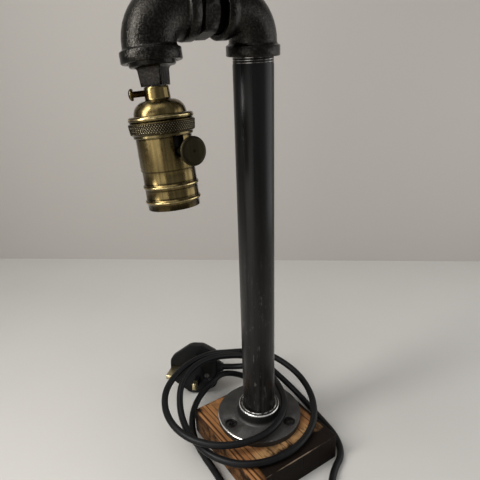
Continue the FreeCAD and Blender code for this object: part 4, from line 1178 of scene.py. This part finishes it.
@dataclass(frozen=True)
class Flex(Assembly):
    """The mains flex in millimetres: one pass round the block, then two round the riser."""

    radius: float = 2.9
    length: float = 1220.0
    round_steps: int = 6
    run_steps: int = 10
    exit_point: Point = (-33.0, -39.5, 8.0)
    route: tuple[Point, ...] = (
        (-33, -38, 8), (-33, -48.8, 8), (-29.1, -58.9, 10), (-21.9, -66.4, 13.3),
        (-12, -70.4, 17.2), (-1.2, -68.6, 21.3), (10, -63.2, 22.3), (29.1, -58.6, 16.2),
        (44.3, -45.3, 11.4), (53.2, -27.1, 7.5), (55, -6.7, 4.7), (54.8, 13.7, 3.3),
        (56.4, 34.2, 3.2), (55.1, 54.8, 3.2), (45.3, 73, 3.2), (29.2, 86.2, 3.1), (9, 90.2, 3.1),
        (-9.6, 81.6, 3.1), (-25.6, 68.2, 3.2), (-42.6, 60.8, 3.1), (-52.4, 43.5, 3.3),
        (-55.6, 21.5, 3.1), (-58.1, 0.2, 3.1), (-59.1, -20.2, 5), (-54.2, -38.4, 13.2),
        (-46.6, -54.8, 23.6), (-31.1, -63.3, 34.3), (-12, -65.8, 41.6), (7.9, -67.5, 46.9),
        (28.4, -65.5, 47.6), (46.6, -57.3, 41.8), (57.1, -41.4, 33.4), (62.6, -22.2, 28.2),
        (63.1, -1.6, 26.7), (58.6, 18.6, 26.6), (47.5, 36, 26.9), (29.7, 46.7, 26.7),
        (9.3, 50.3, 26.5), (-11.1, 47.5, 26.6), (-29.5, 38.2, 27.1), (-43.7, 23.2, 28.4),
        (-52.9, 4.8, 30.2), (-56.3, -15.4, 32.5), (-54.1, -35.7, 34.4), (-49.5, -56.1, 34.2),
        (-35.2, -70.8, 34.1), (-15.1, -74.2, 39), (4.1, -73.6, 46.6), (24.6, -72.7, 47.9),
        (44.6, -68.1, 45.5), (62, -57.4, 42), (72, -39.5, 38.4), (73.6, -19, 35.6),
        (67.4, 0.7, 34.2), (54.5, 16.9, 33.8), (36.6, 27.3, 34.1), (16.2, 31, 34.7),
        (-3.9, 26, 35.2), (-19.6, 12.4, 35.2), (-28.8, -6, 34.4), (-33.4, -26.1, 33.1),
        (-34.6, -46.7, 30.4), (-25.6, -59.8, 26.3), (-11.6, -72.6, 23.6), (-0.7, -81.6, 23.4))

    def build(self) -> None:
        curve = bpy.data.curves.new("mains_flex", "CURVE")
        curve.dimensions, curve.use_fill_caps, curve.bevel_depth = "3D", True, self.radius * MM
        curve.bevel_resolution, curve.resolution_u = self.round_steps, self.run_steps
        spline = curve.splines.new("NURBS")
        spline.points.add(len(self.route) - 1)
        for point, place in zip(spline.points, self.route):
            point.co = (*(v * MM for v in place), 1.0)
        spline.order_u, spline.use_endpoint_u = 3, True
        curve.materials.append(self.shop.finish(FLEX_RUBBER))
        flex = linked("mains_flex", curve)
        self.keep(flex, "flex_black", "flex_floor_turn", "flex_first_turn", "flex_second_turn")


# --- lamp -------------------------------------------------------------------------------------
@dataclass(frozen=True)
class Stand(Assembly):
    """Block, flange, riser and the sleeve where the flex comes out, in millimetres."""

    thread: Thread = Thread(root=12.9, height=0.42, pitch=1.5, start=316.5, turns=2.4)
    bead_centre: Corner = (14.75, 37.95)
    bead_radius: float = 0.75
    bead_arc: range = range(-30, 211, 30)  # degrees
    bead_steps: int = 96
    wood: CharredWood = CharredWood("charred_wood")
    strip: Moulding = Moulding("strip_fibre", (0.03, 0.026, 0.022), (0.05, 0.045, 0.04),
                               (0.6, 0.8))
    flange: FlangeIron = FlangeIron("flange_iron", dark=(0.034, 0.032, 0.030),
                                    light=(0.066, 0.063, 0.059), metal=0.6, grit=850.0)
    screws: BareSteel = BareSteel("wood_screw_steel", (0.045, 0.042, 0.04),
                                  (0.006, 0.006, 0.006), 0.42)

    def build(self) -> None:
        """Make and dress the stand's pieces."""
        self.skin(self.wood, "block_wood", "base_block", crisp=20.0)
        self.skin(self.strip, "strip_fibre", "channel_cover")
        self.skin(self.flange, "flange_iron", "floor_flange")
        self.skin(self.screws, "screw_steel", "flange_screws")
        self.skin(PipeSteel("pipe_steel"), "pipe_steel", "riser_pipe")
        self.skin(GUARD_RUBBER, "rubber_black", "exit_sleeve")
        self.dress("riser_flex", FLEX_RUBBER)
        self._turned()

    def _turned(self) -> None:
        """Wind the thread that shows at the riser's top, and turn the bead at the hub's mouth."""
        steel = self.shop.finish(BareSteel("thread_steel"))
        top = closed_piece(self.thread.ridge(), "riser_top_thread", steel, TO_METRES)
        self.keep(top, "pipe_steel")
        radius, height = self.bead_centre
        bead = [(radius + self.bead_radius * math.cos(a), height + self.bead_radius * math.sin(a))
                for a in map(math.radians, self.bead_arc)]
        mouth = closed_piece(lathe(bead, self.bead_steps), "hub_mouth_bead", steel, TO_METRES)
        self.keep(mouth, "flange_iron")


@dataclass(frozen=True)
class Arm(Assembly):
    """Upper elbow and hexagon nipple."""

    body: Body = Body.ARM
    nipple: CastIron = CastIron("nipple_iron", grit_depth=0.00012, rough=(0.32, 0.45))

    def build(self) -> None:
        """Dress the arm's pieces."""
        self.skin(ELBOW_IRON, "elbow_iron", "upper_elbow")
        self.skin(self.nipple, "nipple_iron", "hex_nipple")
        self.dress("arm_flex", FLEX_RUBBER)


@dataclass(frozen=True)
class Drop(Assembly):
    """Drop elbow, square-head plug and the threaded tube with its nut."""

    body: Body = Body.DROP
    square: CastIron = CastIron("plug_iron", light=(0.034, 0.031, 0.027), grit_depth=0.00012)

    def build(self) -> None:
        """Dress the drop's pieces."""
        self.skin(ELBOW_IRON, "elbow_iron", "drop_elbow")
        self.skin(self.square, "plug_iron", "square_head_plug")
        self.skin(TUBE_STEEL, "tube_steel", "threaded_tube", "tube_lock_nut")
        self.dress("head_flex", FLEX_RUBBER)


@dataclass(frozen=True)
class Holder(Assembly):
    """Keyed lampholder in antiqued brass, in head millimetres."""

    body: Body = Body.HOLDER
    knurl: Knurl = Knurl(top=(19.35, 32.3), foot=(18.6, 38.25), teeth=78, depth=0.55)
    ring: tuple[Corner, ...] = (
        (15.15, 28.2), (17.4, 28.2), (18.2, 28.5), (18.7, 29.15), (18.8, 29.9), (18.65, 30.7),
        (18.2, 31.25), (17.6, 31.5), (18.8, 31.75), (19.1, 32.0), (18.9, 32.3), (18.2, 38.1),
        (17.6, 38.6), (17.3, 38.9), (17.3, 40.0), (16.9, 40.4), (16.25, 40.4), (16.25, 34.0),
        (15.15, 34.0))
    ring_steps: int = 128
    brass: AntiqueBrass = AntiqueBrass(
        "antique_brass", edges=(68.3, 77.05), edge_width=0.45, shade=(78.7, 79.6),
        roots=(20.2, 40.8, 59.3, 66.4, 70.2, 75.2, 78.9))
    ring_brass: AntiqueBrass = AntiqueBrass(
        "ring_brass", deep=(0.060, 0.045, 0.020), mid=(0.19, 0.15, 0.070), edges=(29.6,),
        roots=(31.5, 38.7), root_width=0.5)
    knurl_brass: AntiqueBrass = AntiqueBrass(
        "knurl_brass", deep=(0.20, 0.175, 0.12), mid=(0.46, 0.41, 0.29), rough=0.30,
        crest=(knurl.top, knurl.foot), spun=0.0)
    # the key's brass, darkened almost to black: painted shade on the key
    key_brass_painted_shade: AntiqueBrass = AntiqueBrass(
        "key_brass_painted_shade", deep=(0.017, 0.0145, 0.008), mid=(0.030, 0.025, 0.0135), rough=0.42, spun=0.0)
    screw_brass: AntiqueBrass = AntiqueBrass(
        "lock_screw_brass", deep=(0.035, 0.026, 0.011), mid=(0.13, 0.10, 0.044), spun=0.0)
    cam: Moulding = Moulding("cam_moulding", (0.2, 0.08, 0.03), (0.24, 0.1, 0.04))
    card: Moulding = Moulding("liner_card", (0.5, 0.45, 0.36), (0.4, 0.36, 0.3), (0.6, 0.8))
    # near black: the core's dark brown, darkened further as painted shade in the switch slot
    porcelain: Moulding = Moulding("porcelain", (0.0060, 0.0042, 0.0032),
                                   (0.0100, 0.0070, 0.0052), (0.45, 0.60), dust=0.0, gloss=0.08)

    def build(self) -> None:
        """Dress the holder's pieces, with the lock screw and the key that turn in it."""
        self.skin(self.brass, "brass_body", "holder_cap", "holder_shell", crisp=28.0)
        self._ring()
        self.skin(self.key_brass_painted_shade, "brass_key", "switch_key", body=Body.KEY)
        self.skin(self.screw_brass, "brass_key", "neck_lock_screw", body=Body.LOCK_SCREW)
        self.skin(self.cam, "cam_plastic", "switch_cam", body=Body.KEY)
        self.skin(self.card, "liner_card", "insulating_liner")
        self.skin(self.porcelain, "core_ceramic", "ceramic_core")
        self.skin(BrightBrass("bright_brass"), "brass_bright", "screw_shell", "centre_contact",
                  "terminal_screws", "switch_blades")

    def _ring(self) -> None:
        """Turn the collar with a plain lip and foot, and knurl its middle."""
        turned = closed_piece(lathe(self.ring, self.ring_steps), "ring_turned",
                              self.shop.finish(self.ring_brass), head_frame(), crisp=40.0)
        self.keep(turned, "brass_ring", "knurled_ring")
        band = closed_piece(self.knurl.cut(), "ring_knurl", self.shop.finish(self.knurl_brass),
                            head_frame(), crisp=60.0)
        self.keep(band, "brass_ring")


def main() -> None:
    """Load the frame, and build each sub-assembly in order."""
    logging.basicConfig(level=logging.INFO, format="%(name)s: %(message)s")
    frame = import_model()
    shop = Workshop(frame)
    Studio().build()
    for kind in (Plug, Flex, Stand, Arm, Drop, Holder):
        kind(shop).build()
        LOG.info("%s done", kind.__name__)
    bpy.context.view_layer.update()


if __name__ == "__main__":
    main()
